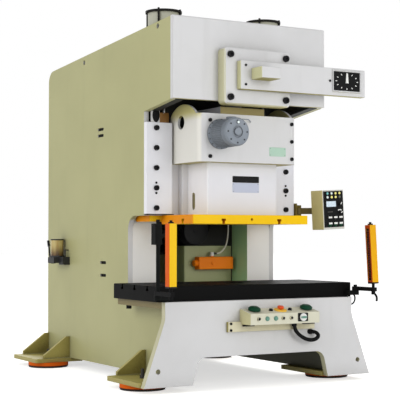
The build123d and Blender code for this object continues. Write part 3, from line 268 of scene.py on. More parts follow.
def noise(finish, scale, detail=3.0, stretch=None):
    """Clouds between 0 and 1 around one half; stretch squeezes them along an axis."""
    place = finish.place
    if stretch:
        place = finish.node("Mapping", {"Vector": place, "Scale": stretch})
    return finish.node("TexNoise", {"Vector": place, "Scale": scale, "Detail": detail})


def step_up(value, low, high):
    """0 below low, 1 above high, and smooth between them."""
    limits = {"Value": value, "From Min": low, "From Max": high}
    return value.shading.node("MapRange", limits, interpolation_type="SMOOTHSTEP")


def rounded_edges(finish, radius):
    """A normal that rolls over sharp edges, and a mask that is 1 on them."""
    rolled = finish.node("Bevel", {"Radius": radius}, samples=4)
    flat = finish.node("NewGeometry", output="Normal")
    same = finish.node("VectorMath", {0: rolled, 1: flat}, 1, operation="DOT_PRODUCT")
    return rolled, step_up(1 - same, 0.02, 0.22)


def facing_share(finish, direction):
    """1 on faces that look along a direction of their own object, 0 on the others."""
    own_normal = finish.node("TexCoord", output="Normal")
    along = finish.node("VectorMath", {0: own_normal, 1: direction}, 1, operation="DOT_PRODUCT")
    return step_up(along, 0.55, 0.80)


def height_share(finish, low, high):
    """0 below one height in metres and 1 above another."""
    height = finish.node("SeparateXYZ", {0: finish.place}, 2)
    return step_up(height, low, high)


def bumped(height, depth, strength, **normal):
    """A normal that follows small heights in metres, on top of another normal where one is given."""
    return height.shading.node("Bump", {"Height": height, "Distance": depth, "Strength": strength, **normal})


def corner_dust_and_shade(finish, reach):
    """A mask that is 1 deep in corners and near the floor, where dust gathers; the darkening it gives is also
    painted shade.
    """
    open_sky = finish.node("AmbientOcclusion", {"Distance": reach}, 1, samples=4)
    return 1 - step_up(open_sky, 0.35, 0.95)


# %% [markdown]
# ## Paint
#
# The frame is sprayed with a satin two-pack paint over filler. Seen close it
# has a faint orange peel, its colour drifts in wide clouds, edges are rubbed
# paler, and grey dust and painted shade lie in the corners and near the floor.
# All of this follows the object's own coordinates, so that neighbouring plates
# match and nothing slides when a body moves. One function makes every paint on
# the press, because they differ only in colour, gloss and how hard a life they
# have had. A face that looks sideways, forward or down can take a tone of its
# own: a white front and beige sides share one plate this way, and the olive
# and darker tones of inner, left and downward faces are painted shade, the
# paler left faces of the slide and cover painted light.


# %% The paint shop
def paint(name, colour, rubbed, dirt_and_shade, gloss=0.38, soot_and_shade=0.45, sides=(), band=None, sheen=0.3):
    """One paint; sides gives faces another tone, most of them painted light and shade, corners darken with dust
    and painted shade, and band colours what is below and above two heights.
    """
    drift, wear, peel = 0.10, 0.5, 0.35
    finish = Finish(name)
    for direction, tone, *heights in sides:
        share = facing_share(finish, direction)
        if heights:
            share = share * height_share(finish, *heights)
        colour = mixed(share, colour, tone)
    clouds = noise(finish, 1.7, 5.0)
    specks = noise(finish, 38.0, 2.0)
    runs = noise(finish, 9.0, 3.0, (1.0, 1.0, 0.12))
    rolled, edge = rounded_edges(finish, 0.004)
    corner = corner_dust_and_shade(finish, 0.16)
    shifted = mixed(step_up(clouds, 0.30, 0.72) * drift, colour, dirt_and_shade)
    streaked = mixed(step_up(runs, 0.56, 0.80) * (0.6 * drift), shifted, dirt_and_shade)
    # Corners and the foot of the frame darken by occlusion: dust and painted shade.
    dusty_and_shaded = mixed(corner * (soot_and_shade * (0.55 + 0.45 * specks)), streaked, dirt_and_shade)
    worn = mixed(edge * step_up(specks, 0.46, 0.62) * wear, dusty_and_shaded, rubbed)
    if band:
        low, high, tone = band
        dark = height_share(finish, high, high + 0.002) + (1 - height_share(finish, low - 0.002, low))
        worn = mixed(dark, worn, tone)
    orange_peel = noise(finish, 420.0, 1.0)
    finish.surface(
        base_color=worn,
        roughness=gloss + 0.16 * clouds + 0.12 * corner,
        normal=bumped(orange_peel, 0.0004, peel, Normal=rolled),
        specular_ior_level=sheen,
        coat_weight=0.05,
        coat_roughness=0.2,
    )


# Tones for faces that look one way: the olive ones and shaded_inside are painted shade.
to_left, to_right, to_front, to_floor = (-1.0, 0.0, 0.0), (1.0, 0.0, 0.0), (0.0, -1.0, 0.0), (0.0, 0.0, -1.0)
front_white, rubbed_white, bright_edge = (216, 216, 217), (238, 238, 235), (250, 250, 248)
beige, rubbed_beige, dust_and_shade_grey = (180, 178, 128), (206, 204, 166), (112, 108, 92)
whites, beiges = (front_white, rubbed_white, dust_and_shade_grey), (beige, rubbed_beige, dust_and_shade_grey)
pale_dust_and_shade, rust_and_shade, olive, underside_shade_olive = (150, 146, 120), (168, 96, 12), (162, 152, 84), (196, 188, 128)
yellow, rubbed_yellow, side_shade_orange = (250, 202, 8), (255, 222, 90), (226, 92, 0)
throat_green, shaded_inside, arm_tone = (176, 224, 172), (66, 68, 48), (112, 98, 48)
post_band = (0.757, 1.187, (16, 12, 10))
paint("beige_paint", *beiges)
# Inner faces of the side plates take a dark tone, painted shade of the throat; their front edges are white
# paint.
paint("left_side_paint", *beiges, sides=[(to_right, shaded_inside), (to_front, front_white)])
paint("right_side_paint", *beiges, sides=[(to_left, shaded_inside), (to_front, front_white)])
# The feet wear a darker olive copy of the frame's beige and heavy corner darkening: painted shade near the
# floor.
paint("foot_paint", (184, 172, 98), (190, 182, 118), (66, 54, 14), soot_and_shade=0.9)
# Downward faces of the whites are olive, and their left faces beige or dark olive: painted shade.
paint("plain_white", *whites, sides=[(to_floor, underside_shade_olive)])
paint("white_paint", *whites, sides=[(to_left, (206, 203, 168)), (to_floor, underside_shade_olive)])
paint("bed_top_paint", *whites, sides=[(to_left, (122, 108, 60)), (to_floor, (100, 88, 44))])
# The slide's left faces are paler, painted light; its front band under the head and its downward faces are
# olive, painted shade.
paint(
    "slide_paint", (229, 230, 237), (248, 248, 250), (140, 136, 112), soot_and_shade=0.1,
    sides=[(to_left, (248, 248, 254)), (to_front, (200, 182, 118), 1.97, 2.02), (to_floor, olive)],
)
# The cover's left faces are paler, painted light; its hump and downward faces are olive, painted shade.
paint(
    "cover_paint", front_white, bright_edge, (140, 136, 112), soot_and_shade=0.2,
    sides=[(to_left, (236, 234, 226)), (to_left, (216, 208, 140), 1.95, 2.03), (to_floor, olive)],
)
paint(
    "column_paint", (246, 246, 243), bright_edge, dust_and_shade_grey, soot_and_shade=0.2,
    sides=[(to_left, throat_green), (to_right, throat_green)],
)
# The inside of the frame is near black: painted shade of its hollows.
paint("inside_paint", (34, 35, 30), (84, 84, 70), (14, 13, 11), 0.6)
# Left faces of the panel box and the station take an olive tone, and their downward faces olive: painted shade.
paint(
    "box_paint", (214, 213, 206), rubbed_white, pale_dust_and_shade,
    sides=[(to_left, (236, 226, 160)), (to_floor, olive)],
)
paint(
    "station_paint", (219, 217, 196), rubbed_white, pale_dust_and_shade,
    sides=[(to_left, (214, 208, 160)), (to_floor, olive)],
)
# The cam box's left and downward faces are olive: painted shade.
paint("cam_paint", *whites, sides=[(to_left, (206, 204, 158)), (to_floor, (150, 140, 50))])
# Left faces of the yellow parts turn orange: painted shade.
paint("yellow_paint", yellow, rubbed_yellow, rust_and_shade, 0.33, sides=[(to_left, (244, 152, 10))], sheen=0.1)
paint(
    "post_paint", yellow, rubbed_yellow, rust_and_shade, 0.33,
    sides=[(to_left, side_shade_orange)], band=post_band, sheen=0.1,
)
# The right post has a darker, more orange copy of the yellow and a brown left side: painted shade.
paint(
    "right_post_paint", (238, 176, 14), (250, 206, 80), rust_and_shade, 0.33,
    sides=[(to_left, (176, 62, 8))], band=post_band, sheen=0.1,
)
paint("cylinder_paint", (196, 196, 180), (218, 217, 204), (70, 66, 50))
paint("tank_paint", (170, 178, 132), (190, 196, 160), (50, 60, 34), soot_and_shade=0.25)
paint("orange_paint", (255, 138, 22), (255, 178, 96), (160, 60, 10), 0.34, 0.1, sheen=0.1)
# The rail's left faces are olive: painted shade.
paint("rail_paint", (222, 216, 186), (236, 232, 210), (130, 122, 84), sides=[(to_left, olive)])
paint("motor_paint", (18, 19, 21), (60, 62, 64), (10, 10, 10))
paint("arm_olive", arm_tone, (160, 148, 92), (60, 50, 20))
print("paints:", sorted(finishes))

# %% [markdown]
# ## Black steel, machined steel and cast iron
#
# The bolster and the screws are blackened in hot oil: nearly black, with a
# soft sheen and grey where tools have slid over them. Shafts and gears are
# turned or ground bright, so fine lines follow the cut. Cast parts keep the
# grain of the sand mould. Noise squeezed along one axis gives the lines, and
# Metallic tells the shader how much is bare metal.


# %% Blackened and bright metals
def blackened(name, colour, rubbed, wear=0.5, olive_right=False):
    """Blackened steel; the panel's bracket, high on the right, is painted olive like its arm."""
    grain, gloss = 70.0, 0.42
    finish = Finish(name)
    if olive_right:
        panel_side, panel_low, blend = 0.30, 1.15, 0.01
        across = finish.node("SeparateXYZ", {0: finish.place}, 0)
        right = step_up(across, panel_side, panel_side + blend)
        colour = mixed(right * height_share(finish, panel_low, panel_low + blend), colour, arm_tone)
    clouds = noise(finish, 3.0, 5.0)
    grit = noise(finish, grain, 4.0)
    rolled, edge = rounded_edges(finish, 0.002)
    touched = edge * step_up(grit, 0.42, 0.62) * wear
    shade = mixed(0.16 * clouds, colour, rubbed)
    finish.surface(
        base_color=mixed(touched, shade, rubbed),
        metallic=0.5 * touched,
        roughness=gloss + 0.22 * clouds,
        normal=bumped(grit, 0.0006, 0.3, Normal=rolled),
        specular_ior_level=0.04,
    )


def machined(name, colour, gloss=0.24, along=(1.0, 60.0, 1.0)):
    """Turned or ground metal; along squeezes the fine lines of the cut."""
    finish = Finish(name)
    cuts = noise(finish, 9.0, 3.0, along)
    clouds = noise(finish, 6.0, 4.0)
    rolled, edge = rounded_edges(finish, 0.0015)
    shade = mixed(step_up(cuts, 0.3, 0.7) * 0.5, colour, scaled(colour, 0.6))
    finish.surface(
        base_color=mixed(edge * 0.5, shade, (150, 150, 148)),
        metallic=0.9,
        roughness=gloss + 0.25 * clouds * cuts,
        normal=bumped(cuts, 0.0003, 0.4, Normal=rolled),
    )


def cast(name, colour, rubbed, metal=0.15, grain=160.0):
    """A casting with the grain of the sand, and corners darkened by dust and by painted shade."""
    finish = Finish(name)
    sand = noise(finish, grain, 3.0)
    clouds = noise(finish, 5.0, 4.0)
    rolled, edge = rounded_edges(finish, 0.003)
    corner = corner_dust_and_shade(finish, 0.05)
    shade = mixed(clouds * 0.4, colour, rubbed)
    # Occlusion darkens the corners: dust and painted shade.
    grimy_and_shaded = mixed(corner * 0.6, shade, (0.012, 0.012, 0.012, 1))
    finish.surface(
        base_color=mixed(edge * 0.7, grimy_and_shaded, rubbed),
        metallic=metal + 0.3 * edge,
        roughness=0.48 + 0.2 * sand,
        normal=bumped(sand, 0.0012, 0.45, Normal=rolled),
    )


blackened("black_steel", (9, 9, 9), (36, 36, 36), 0.35)
blackened("bolt_steel", (20, 20, 22), (96, 96, 98))
blackened("stud_steel", (64, 62, 60), (140, 138, 134))
blackened("bracket_black", (12, 14, 13), (60, 60, 60), olive_right=True)
blackened("arm_black", (12, 12, 13), (66, 66, 66))
blackened("cap_black", (26, 25, 25), (90, 88, 84))
blackened("lever_black", (30, 30, 30), (90, 90, 90))
machined("bronze", (142, 104, 64), 0.3)
machined("rod_chrome", (222, 224, 228), 0.08, (1.0, 1.0, 50.0))
machined("forged_steel", (170, 171, 174), 0.26)
machined("gear_steel", (142, 142, 145), 0.3)
cast("rod_iron", (118, 120, 120), (160, 160, 160), 0.5)
cast("wheel_iron", (17, 18, 19), (46, 46, 46), 0.3)
cast("cast_black", (14, 14, 14), (50, 50, 50), 0.05)
cast("drive_grey", (104, 112, 122), (176, 182, 188), 0.3, 120.0)
print("metals added, finishes:", len(finishes))

# %% [markdown]
# ## Rubber and plastics
#
# The isolators are moulded orange rubber, dusty and matt. Buttons, glands and
# the dial are plastics: even in colour, with fine scratches that show only in
# the gloss. The oil jar is clear amber plastic, so light passes through it.


# %% Soft and moulded finishes
def moulded(name, colour, gloss=0.4, mottle=0.2, grain=90.0, depth=0.0004, sheen=0.5, dark_below=None):
    """Plastic or rubber of one colour; dark_below is a height in metres under which it is darker."""
    finish = Finish(name)
    fine = noise(finish, grain, 3.0)
    clouds = noise(finish, 12.0, 3.0)
    rolled, edge = rounded_edges(finish, 0.0012)
    shade = mixed(clouds * mottle, colour, scaled(colour, 0.55))
    if dark_below:
        above_band = height_share(finish, dark_below - 0.001, dark_below + 0.001)
        # Below dark_below the colour turns dark.
        bottom_tone = (34, 26, 20)
        shade = mixed(above_band, bottom_tone, shade)
    finish.surface(
        base_color=mixed(edge * 0.5, shade, scaled(colour, 1.25, 0.02)),
        roughness=gloss + 0.2 * fine,
        normal=bumped(fine, depth, 0.3, Normal=rolled),
        specular_ior_level=sheen,
    )


def amber_plastic():
    """The jar: dark oil below, honey-coloured wall above, and a black lid."""
    finish = Finish("amber_jar")
    low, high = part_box("lubricator_jar")
    streaks = step_up(noise(finish, 34.0, 2.0, (1.0, 1.0, 0.1)), 0.35, 0.65)
    oil = mixed(streaks, (70, 42, 20), (120, 84, 40))
    wall = mixed(streaks, (190, 160, 90), (216, 196, 130))
    depth = height_share(finish, low[2] - 0.010, high[2] - 0.040)
    glow = mixed(depth, oil, wall)
    lid = height_share(finish, high[2] - 0.011, high[2] - 0.0105)
    finish.surface(
        base_color=mixed(lid, glow, (0.004, 0.004, 0.004, 1)),
        roughness=0.12 + 0.1 * noise(finish, 30.0),
    )
    finish.shader.inputs["Transmission Weight"].default_value = 0.15
    finish.shader.inputs["IOR"].default_value = 1.45


moulded("orange_rubber", (236, 104, 16), 0.62, 0.6, 60.0, 0.0010, 0.15, 0.017)
moulded("belt_rubber", (19, 19, 20), 0.6, 0.4, sheen=0.12)
moulded("dial_black", (12, 12, 13), 0.3, sheen=0.10)
moulded("pointer_white", (240, 240, 236), 0.4, 0.1)
moulded("palm_green", (4, 60, 38), 0.3, 0.3, sheen=0.12)
moulded("stop_red", (226, 78, 14), 0.26, 0.15)
moulded("selector_white", (236, 236, 232), 0.34, 0.1)
moulded("panel_black", (12, 12, 13), 0.36, 0.2, sheen=0.10)
moulded("gland_black", (18, 18, 19), 0.45, sheen=0.12)
moulded("conduit_black", (18, 18, 19), 0.5, sheen=0.12)
moulded("hose_white", (226, 224, 208), 0.45, 0.25)
amber_plastic()
print("finishes:", len(finishes))

# %% [markdown]
# ## Painting the CAD pieces
#
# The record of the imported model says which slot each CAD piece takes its
# finish from. Reading that table keeps the scene and the record in step: a
# piece that is added later gets its paint without another line here.

# %% Give every CAD piece its finish
special_finish = {
    "left_side_plate": "left_side_paint", "right_side_plate": "right_side_paint",
    "column_plates": "column_paint", "head_front_plate": "plain_white", "foot_brackets": "foot_paint",
    "bed_top_plate": "bed_top_paint", "slide_body": "slide_paint", "slide_cover": "cover_paint",
    "gib_plates": "slide_paint", "cam_box": "cam_paint", "palm_station_box": "station_paint",
    "left_curtain_post": "post_paint", "right_curtain_post": "right_post_paint",
}
for row in frame["record"]["subparts"]:
    piece = nodes[row["node"]]
    material = finishes[special_finish.get(row["node"], row["material_slot"])]
    if not piece.material_slots:
        piece.data.materials.append(material)
    for place in piece.material_slots:
        place.material = material

# %% [markdown]
# ## Repeats with Geometry Nodes
#
# Screws, marks, lenses and ribs repeat. Each kind of repeat is one Geometry
# Nodes tree: a ring, a row, and a run along a path. The tree takes a small
# shape and copies it onto points, which costs almost nothing, and turns the
# copies into real mesh at its end. A tree can't be handed on, so its result
# is stored as a plain mesh and the modifier goes.


# %% A Geometry Nodes tree that is written in a few lines
class Recipe:
    """A Geometry Nodes tree with named inputs."""

    def __init__(self, name, sizes):
        self.tree = bpy.data.node_groups.new(name, "GeometryNodeTree")
        face = self.tree.interface
        face.new_socket("Geometry", in_out="OUTPUT", socket_type="NodeSocketGeometry")
        face.new_socket("Geometry", in_out="INPUT", socket_type="NodeSocketGeometry")
        for label, kind in {**sizes, "Finish": "Material"}.items():
            face.new_socket(label, in_out="INPUT", socket_type="NodeSocket" + kind)
        self.given = self.tree.nodes.new("NodeGroupInput").outputs

    def node(self, kind, values=(), **settings):
        node = self.tree.nodes.new(kind if "Node" in kind else "GeometryNode" + kind)
        for name, value in settings.items():
            setattr(node, name, value)
        for name, value in dict(values).items():
            if isinstance(value, bpy.types.NodeSocket):
                self.tree.links.new(value, node.inputs[name])
            else:
                node.inputs[name].default_value = value
        return node.outputs

    def close(self, geometry):
        """Realize the copies, give them their finish, and end the tree."""
        real = self.node("RealizeInstances", {0: geometry})[0]
        dressed = self.node("SetMaterial", {0: real, "Material": self.given["Finish"]})[0]
        self.tree.links.new(dressed, self.tree.nodes.new("NodeGroupOutput").inputs[0])
        return self

    def copies(self, points, **more):
        """Copies of the given shape on points."""
        shape = self.node("ObjectInfo", {"Object": self.given["Shape"]})["Geometry"]
        return self.node("InstanceOnPoints", {"Points": points, "Instance": shape, **more})[0]

    def placed(self, pattern):
        """Turn and move a flat pattern to its face, and end the tree."""
        return self.close(self.node("Transform", {
            "Geometry": pattern, "Translation": self.given["Centre"], "Rotation": self.given["Turn"],
        })[0])

    def make(self, finish, guide=None, **sizes):
        """Run the tree on an empty mesh, or on the mesh of a guide line, and keep the result."""
        carrier = added("carrier", guide or bpy.data.meshes.new("nothing"))
        modifier = carrier.modifiers.new("copies", "NODES")
        modifier.node_group = self.tree
        sockets = [i for i in self.tree.interface.items_tree if i.in_out == "INPUT"]
        labels = {item.name: item.identifier for item in sockets}
        for label, value in {**sizes, "Finish": finishes[finish]}.items():
            modifier[labels[label]] = value
        mesh = shown_mesh(carrier)
        carrier.modifiers.clear()
        bpy.data.objects.remove(carrier)
        return mesh


# %% Three trees: a ring, a row and a path
def ring_recipe():
    tree = Recipe("ring_of_copies", {
        "Shape": "Object", "Count": "Int", "Width": "Float", "Height": "Float", "Turn": "Vector",
        "Centre": "Vector",
    })
    given = tree.given
    circle = tree.node("MeshCircle", {"Vertices": given["Count"], "Radius": 1.0})[0]
    spot = tree.node("InputPosition")[0]
    outward = tree.node("FunctionNodeAlignRotationToVector", {"Vector": spot}, axis="X", pivot_axis="Z")[0]
    oval = tree.node("ShaderNodeCombineXYZ", {0: given["Width"], 1: given["Height"], 2: 1.0})[0]
    position = tree.node("ShaderNodeVectorMath", {0: spot, 1: oval}, operation="MULTIPLY")[0]
    stretched = tree.node("SetPosition", {"Geometry": circle, "Position": position})[0]
    return tree.placed(tree.copies(stretched, Rotation=outward))


def row_recipe():
    tree = Recipe("rows_of_copies", {
        "Shape": "Object", "Across": "Int", "Up": "Int", "Width": "Float", "Height": "Float",
        "Turn": "Vector", "Centre": "Vector",
    })
    given = tree.given
    grid = tree.node("MeshGrid", {
        "Size X": given["Width"], "Size Y": given["Height"],
        "Vertices X": given["Across"], "Vertices Y": given["Up"],
    })[0]
    return tree.placed(tree.copies(grid))


def path_recipe():
    tree = Recipe("copies_on_a_path", {"Shape": "Object", "Step": "Float", "Vary": "Float", "Seed": "Int"})
    given = tree.given
    line = tree.node("MeshToCurve", {0: given["Geometry"]})[0]
    points = tree.node("CurveToPoints", {"Curve": line, "Length": given["Step"]}, mode="LENGTH")
    smallest = tree.node("ShaderNodeMath", {0: 1.0, 1: given["Vary"]}, operation="SUBTRACT")[0]
    limits = {2: smallest, 3: 1.0, "Seed": given["Seed"]}
    size = tree.node("FunctionNodeRandomValue", limits, data_type="FLOAT")[1]
    return tree.close(tree.copies(points[0], Rotation=points["Rotation"], Scale=size))


ring = ring_recipe()
rows = row_recipe()
path = path_recipe()
print("trees:", [t.name for t in bpy.data.node_groups])

# %% [markdown]
# ## Small shapes
#
# The shapes that are copied are turned or cut by a few lines of mesh code: a
# profile is swept round an axis, or an outline is pulled up and its edges are
# bevelled. They are modelled at the origin with z as the way out of the
# surface, so one turn puts them on any face. They need few faces because
# they are copied many times.


# %% Turned and cut shapes
def shape_object(fill):
    """A pattern at the origin, from a function that fills a bmesh; the patterns go at the end."""
    work = bmesh.new()
    fill(work)
    bmesh.ops.remove_doubles(work, verts=work.verts, dist=1e-6)
    bmesh.ops.recalc_face_normals(work, faces=work.faces)
    mesh = bpy.data.meshes.new("pattern")
    work.to_mesh(mesh)
    work.free()
    return added("pattern", mesh)


def turned(profile, sides=24):
    """A profile of (radius, height) pairs swept round the z axis."""
    def fill(work):
        verts = [work.verts.new((radius, 0, height)) for radius, height in profile]
        edges = [work.edges.new(pair) for pair in zip(verts, verts[1:])]
        turn = {"cent": (0, 0, 0), "axis": (0, 0, 1), "angle": math.tau}
        bmesh.ops.spin(work, geom=verts + edges, steps=sides, use_merge=True, **turn)
    return shape_object(fill)


def bevel_rim(work, height, offset):
    """Round the edges that lie at one height."""
    rim = [e for e in work.edges if all(abs(v.co.z - height) < 1e-7 for v in e.verts)]
    bmesh.ops.bevel(work, geom=rim, offset=offset, segments=2, affect="EDGES")


def cut_plate(width, height, thick, corner=0.0, edge=0.0):
    """A flat plate with rounded corners and a small bevel round its face."""
    def fill(work):
        outline = []
        for sx, sy, start in ((1, 1, 0), (-1, 1, 90), (-1, -1, 180), (1, -1, 270)):
            for step in range(5 if corner else 1):
                turn = math.radians(start + step * 22.5)
                x = sx * (width / 2 - corner) + corner * math.cos(turn)
                y = sy * (height / 2 - corner) + corner * math.sin(turn)
                outline.append(work.verts.new((x, y, 0)))
        base = work.faces.new(outline)
        top = bmesh.ops.extrude_face_region(work, geom=[base])["geom"]
        lifted = [item for item in top if isinstance(item, bmesh.types.BMVert)]
        bmesh.ops.translate(work, vec=(0, 0, thick), verts=lifted)
        if edge:
            bevel_rim(work, thick, edge)
    return shape_object(fill)


def piece_from(name, meshes, body, slot, finish=None, smooth=30):
    """One piece from meshes in place, riding on a body, in its own finish or else the slot's."""
    work = bmesh.new()
    for mesh in meshes:
        work.from_mesh(mesh)
    mesh = bpy.data.meshes.new(name)
    work.to_mesh(mesh)
    work.free()
    mesh.materials.clear()
    mesh.materials.append(finishes[finish or slot])
    mesh.polygons.foreach_set("use_smooth", [True] * len(mesh.polygons))
    mesh.set_sharp_from_angle(angle=math.radians(smooth))
    piece = added(name, mesh)
    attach(piece, body)
    print(name, "faces:", len(mesh.polygons))
    return piece


def moved(shape, matrix):
    """A copy of a shape's mesh, put in place."""
    mesh = shape.data.copy()
    mesh.transform(matrix)
    return mesh


def facing(direction):
    """The turn that takes a shape's z axis to a direction, keeping its y axis upright."""
    out = Vector(direction).normalized()
    side = Vector((0, 0, 1)).cross(out)
    side = Vector((1, 0, 0)) if side.length < 1e-6 else side.normalized()
    upward = out.cross(side)
    return Matrix((side, upward, out)).transposed().to_4x4()


front = facing((0, -1, 0))


def at_front(x, y, z):
    """A place on a face that looks to the front."""
    return Matrix.Translation((x, y, z)) @ front


print("shape makers are ready")

# %% [markdown]
# ## The crank angle dial
#
# A white pointer on the right of the cam box follows the crank, over a black
# plate with twelve marks. The plate is wider than it is high, so the marks
# stand on an oval, and each one points away from the middle. The ring tree
# does this: it stretches a circle of twelve points and turns every copy
# outwards. A thin lip frames the plate.

# %% Marks and lip of the dial
dial_low, dial_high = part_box("dial_plate")
dial_middle = (dial_low + dial_high) / 2
upright = (math.pi / 2, 0, 0)
mark = cut_plate(0.014, 0.006, 0.0008, 0.002)
marks = ring.make(
    "pointer_white", Shape=mark, Count=12, Width=0.100, Height=0.058, Turn=upright,
    Centre=(dial_middle.x, dial_low.y, dial_middle.z),
)
piece_from("dial_marks", [marks], "frame", "pointer_white")


def lip_shape(width, height, border, thick):
    """A flat rectangular frame with a bevelled face."""
    def fill(work):
        loops = []
        for grow, z in ((border, 0), (border, thick), (0, thick), (0, 0)):
            half_x, half_y = width / 2 + grow, height / 2 + grow
            corners = ((half_x, half_y), (-half_x, half_y), (-half_x, -half_y), (half_x, -half_y))
            loops.append([work.verts.new((x, y, z)) for x, y in corners])
        for near, far in zip(loops, loops[1:] + loops[:1]):
            for side in range(4):
                turn = (side + 1) % 4
                work.faces.new((near[side], near[turn], far[turn], far[side]))
        bevel_rim(work, thick, thick * 0.3)
    return shape_object(fill)


dial_size = dial_high - dial_low
lip = lip_shape(dial_size.x + 0.001, dial_size.z + 0.001, 0.011, 0.009)
lip_place = at_front(dial_middle.x, dial_high.y, dial_middle.z)
piece_from("dial_lip", [moved(lip, lip_place)], "frame", "box_paint", "plain_white")

# %% [markdown]
# ## The operator panel
#
# The black face carries eight lamps, a small screen, two turn knobs and two
# rows of push buttons, each under a blank legend plate. The CAD model has the
# plain rods behind them. Every lamp gets a domed lens in its own colour over
# a black bezel, which a turned profile makes. The panel hangs three degrees
# out of true on its arm, so its pieces are laid out upright first and then
# turned together with it.

# %% Where things are on the panel
panel_lean = math.radians(-3)
panel_width, panel_height = 0.207, 0.312
panel_left, panel_top = 0.768, 1.469
panel_face_y = -0.820
lean_point = Matrix.Translation((panel_left + 0.080, 0, 1.306))
lean = lean_point @ Matrix.Rotation(panel_lean, 4, "Y") @ lean_point.inverted()


def on_panel(across, down, out=0.0):
    """A place on the leaning face: shares of its width and height, and metres out of it."""
    spot = (panel_left + across * panel_width, panel_face_y - out, panel_top - down * panel_height)
    return lean @ at_front(*spot)


def lens(name, colour, glow):
    """A cut lens that glows a little in its own colour."""
    finish = Finish(name)
    facets = finish.node("TexVoronoi", {"Vector": finish.place, "Scale": 260.0})
    finish.surface(
        base_color=mixed(facets, colour, scaled(colour, 1.5, 0.05)),
        roughness=0.12 + 0.15 * facets,
        emission_color=colour,
        emission_strength=glow,
        normal=bumped(facets, 0.0006, 0.4),
    )


lens("lamp_teal", (96, 168, 168), 0.12)
lens("lamp_white", (206, 226, 218), 0.15)
lens("lamp_yellow", (232, 218, 120), 0.15)
lens("lamp_dark", (84, 86, 74), 0.02)
lamp_rows = ((0.085, ("teal", "white", "yellow", "yellow")), (0.18, ("white", "yellow", "yellow", "dark")))
lamp_columns = (0.21, 0.405, 0.59, 0.775)

# %% Lamp lenses, bezels, screen and legends
lens_shape = turned([(0, 0.0125), (0.005, 0.0118), (0.0092, 0.0090), (0.0104, 0.0050), (0.0104, 0)], 20)
bezel_shape = turned([(0.0106, 0.0), (0.0106, 0.0062), (0.0128, 0.0058), (0.0140, 0.0040), (0.0142, 0.0)], 24)
lamps = {colour: [] for colour in ("teal", "white", "yellow", "dark")}
bezels = []
for down, colours in lamp_rows:
    for across, colour in zip(lamp_columns, colours):
        lamps[colour].append(moved(lens_shape, on_panel(across, down)))
        bezels.append(moved(bezel_shape, on_panel(across, down)))
for colour, meshes in lamps.items():
    piece_from(f"lamp_lenses_{colour}", meshes, "panel", "panel_black", "lamp_" + colour, 50)

button_columns = (0.29, 0.54, 0.79)
button_rows = (0.71, 0.88)
knob_column = 0.78
knob_rows = (0.36, 0.58)
cap_shape = turned([
    (0, 0.0098), (0.0105, 0.0098), (0.0128, 0.0086), (0.0134, 0.0050), (0.0146, 0.0046), (0.0172, 0.0036),
    (0.0176, 0.0),
], 28)
knob_base = turned([
    (0, 0.0195), (0.0110, 0.0195), (0.0138, 0.0170), (0.0146, 0.0040), (0.0190, 0.003), (0.0190, 0.0),
], 28)
black_caps = [moved(cap_shape, on_panel(across, button_rows[0])) for across in button_columns]
black_caps += [moved(knob_base, on_panel(knob_column, down)) for down in knob_rows]
green_caps = [moved(cap_shape, on_panel(across, button_rows[1])) for across in button_columns]
piece_from("panel_caps_black", bezels + black_caps, "panel", "gland_black")
piece_from("panel_caps_green", green_caps, "panel", "palm_green")

legend_shape = cut_plate(0.033, 0.0140, 0.0012, 0.002)
pointer_shape = cut_plate(0.006, 0.019, 0.0012, 0.001)
legend_rises = (0.016, 0.034)
legends = [
    moved(legend_shape, on_panel(across, down - rise, 0.0097))
    for across in button_columns
    for down, rise in zip(button_rows, legend_rises)
]
legends.append(moved(legend_shape, on_panel(knob_column, knob_rows[1] - 0.062)))
for down, turn in zip(knob_rows, (-40, -65)):
    swing = Matrix.Rotation(math.radians(turn), 4, "Z") @ Matrix.Translation((0, 0.006, 0.0195))
    legends.append(moved(pointer_shape, on_panel(knob_column, down) @ swing))
piece_from("panel_legends", legends, "panel", "pointer_white")


def screen_glass():
    """A pale display behind glass, with a few darker bars and no words."""
    finish = Finish("screen_glass")
    bars = finish.node("TexWave", {"Vector": finish.place, "Scale": 36.0}, bands_direction="Z")
    clouds = noise(finish, 60.0, 1.0, (1.0, 1.0, 4.0))
    marks = step_up(bars, 0.72, 0.86) * step_up(clouds, 0.52, 0.60)
    shade = mixed(marks * 0.5, (206, 222, 234), (120, 140, 156))
    finish.surface(
        base_color=shade, roughness=0.08 + 0.05 * clouds, emission_color=shade, emission_strength=0.15,
    )


screen_glass()
screen = cut_plate(0.092, 0.044, 0.0028, 0.003, 0.0008)
screen_place = on_panel(0.38, 0.355, 0.0003)
piece_from("panel_screen", [moved(screen, screen_place)], "panel", "panel_black", "screen_glass")
strip = cut_plate(0.050, 0.009, 0.0010, 0.002)
piece_from("panel_strip", [moved(strip, on_panel(0.33, 0.555))], "panel", "stud_steel")

# %% [markdown]
# ## The two-hand station
#
# Both palm buttons have to be pressed at once, so that no hand is under the
# slide. Between them sits the emergency stop on its yellow collar. The front
# holds five push buttons and a selector on a black square. The sloping top is
# a plane with its own tilt, so one matrix carries a piece from the origin to
# any place along it.

# %% Collar, caps and bezel of the station
station_x = 0.103
station_front = -1.273
slope_rise, slope_depth, slope_height = 0.030, 0.140, 0.560
slope_angle = math.atan2(slope_rise, slope_depth)
slope_middle = Vector((0, station_front + slope_depth / 2, slope_height))


def on_slope(x):
    """A place on the station's sloping top, with z out of its face."""
    out = facing((0, -math.sin(slope_angle), math.cos(slope_angle)))
    return Matrix.Translation(slope_middle + Vector((x, 0, 0))) @ out


def on_station_front(x, z):
    return at_front(x, station_front, z)


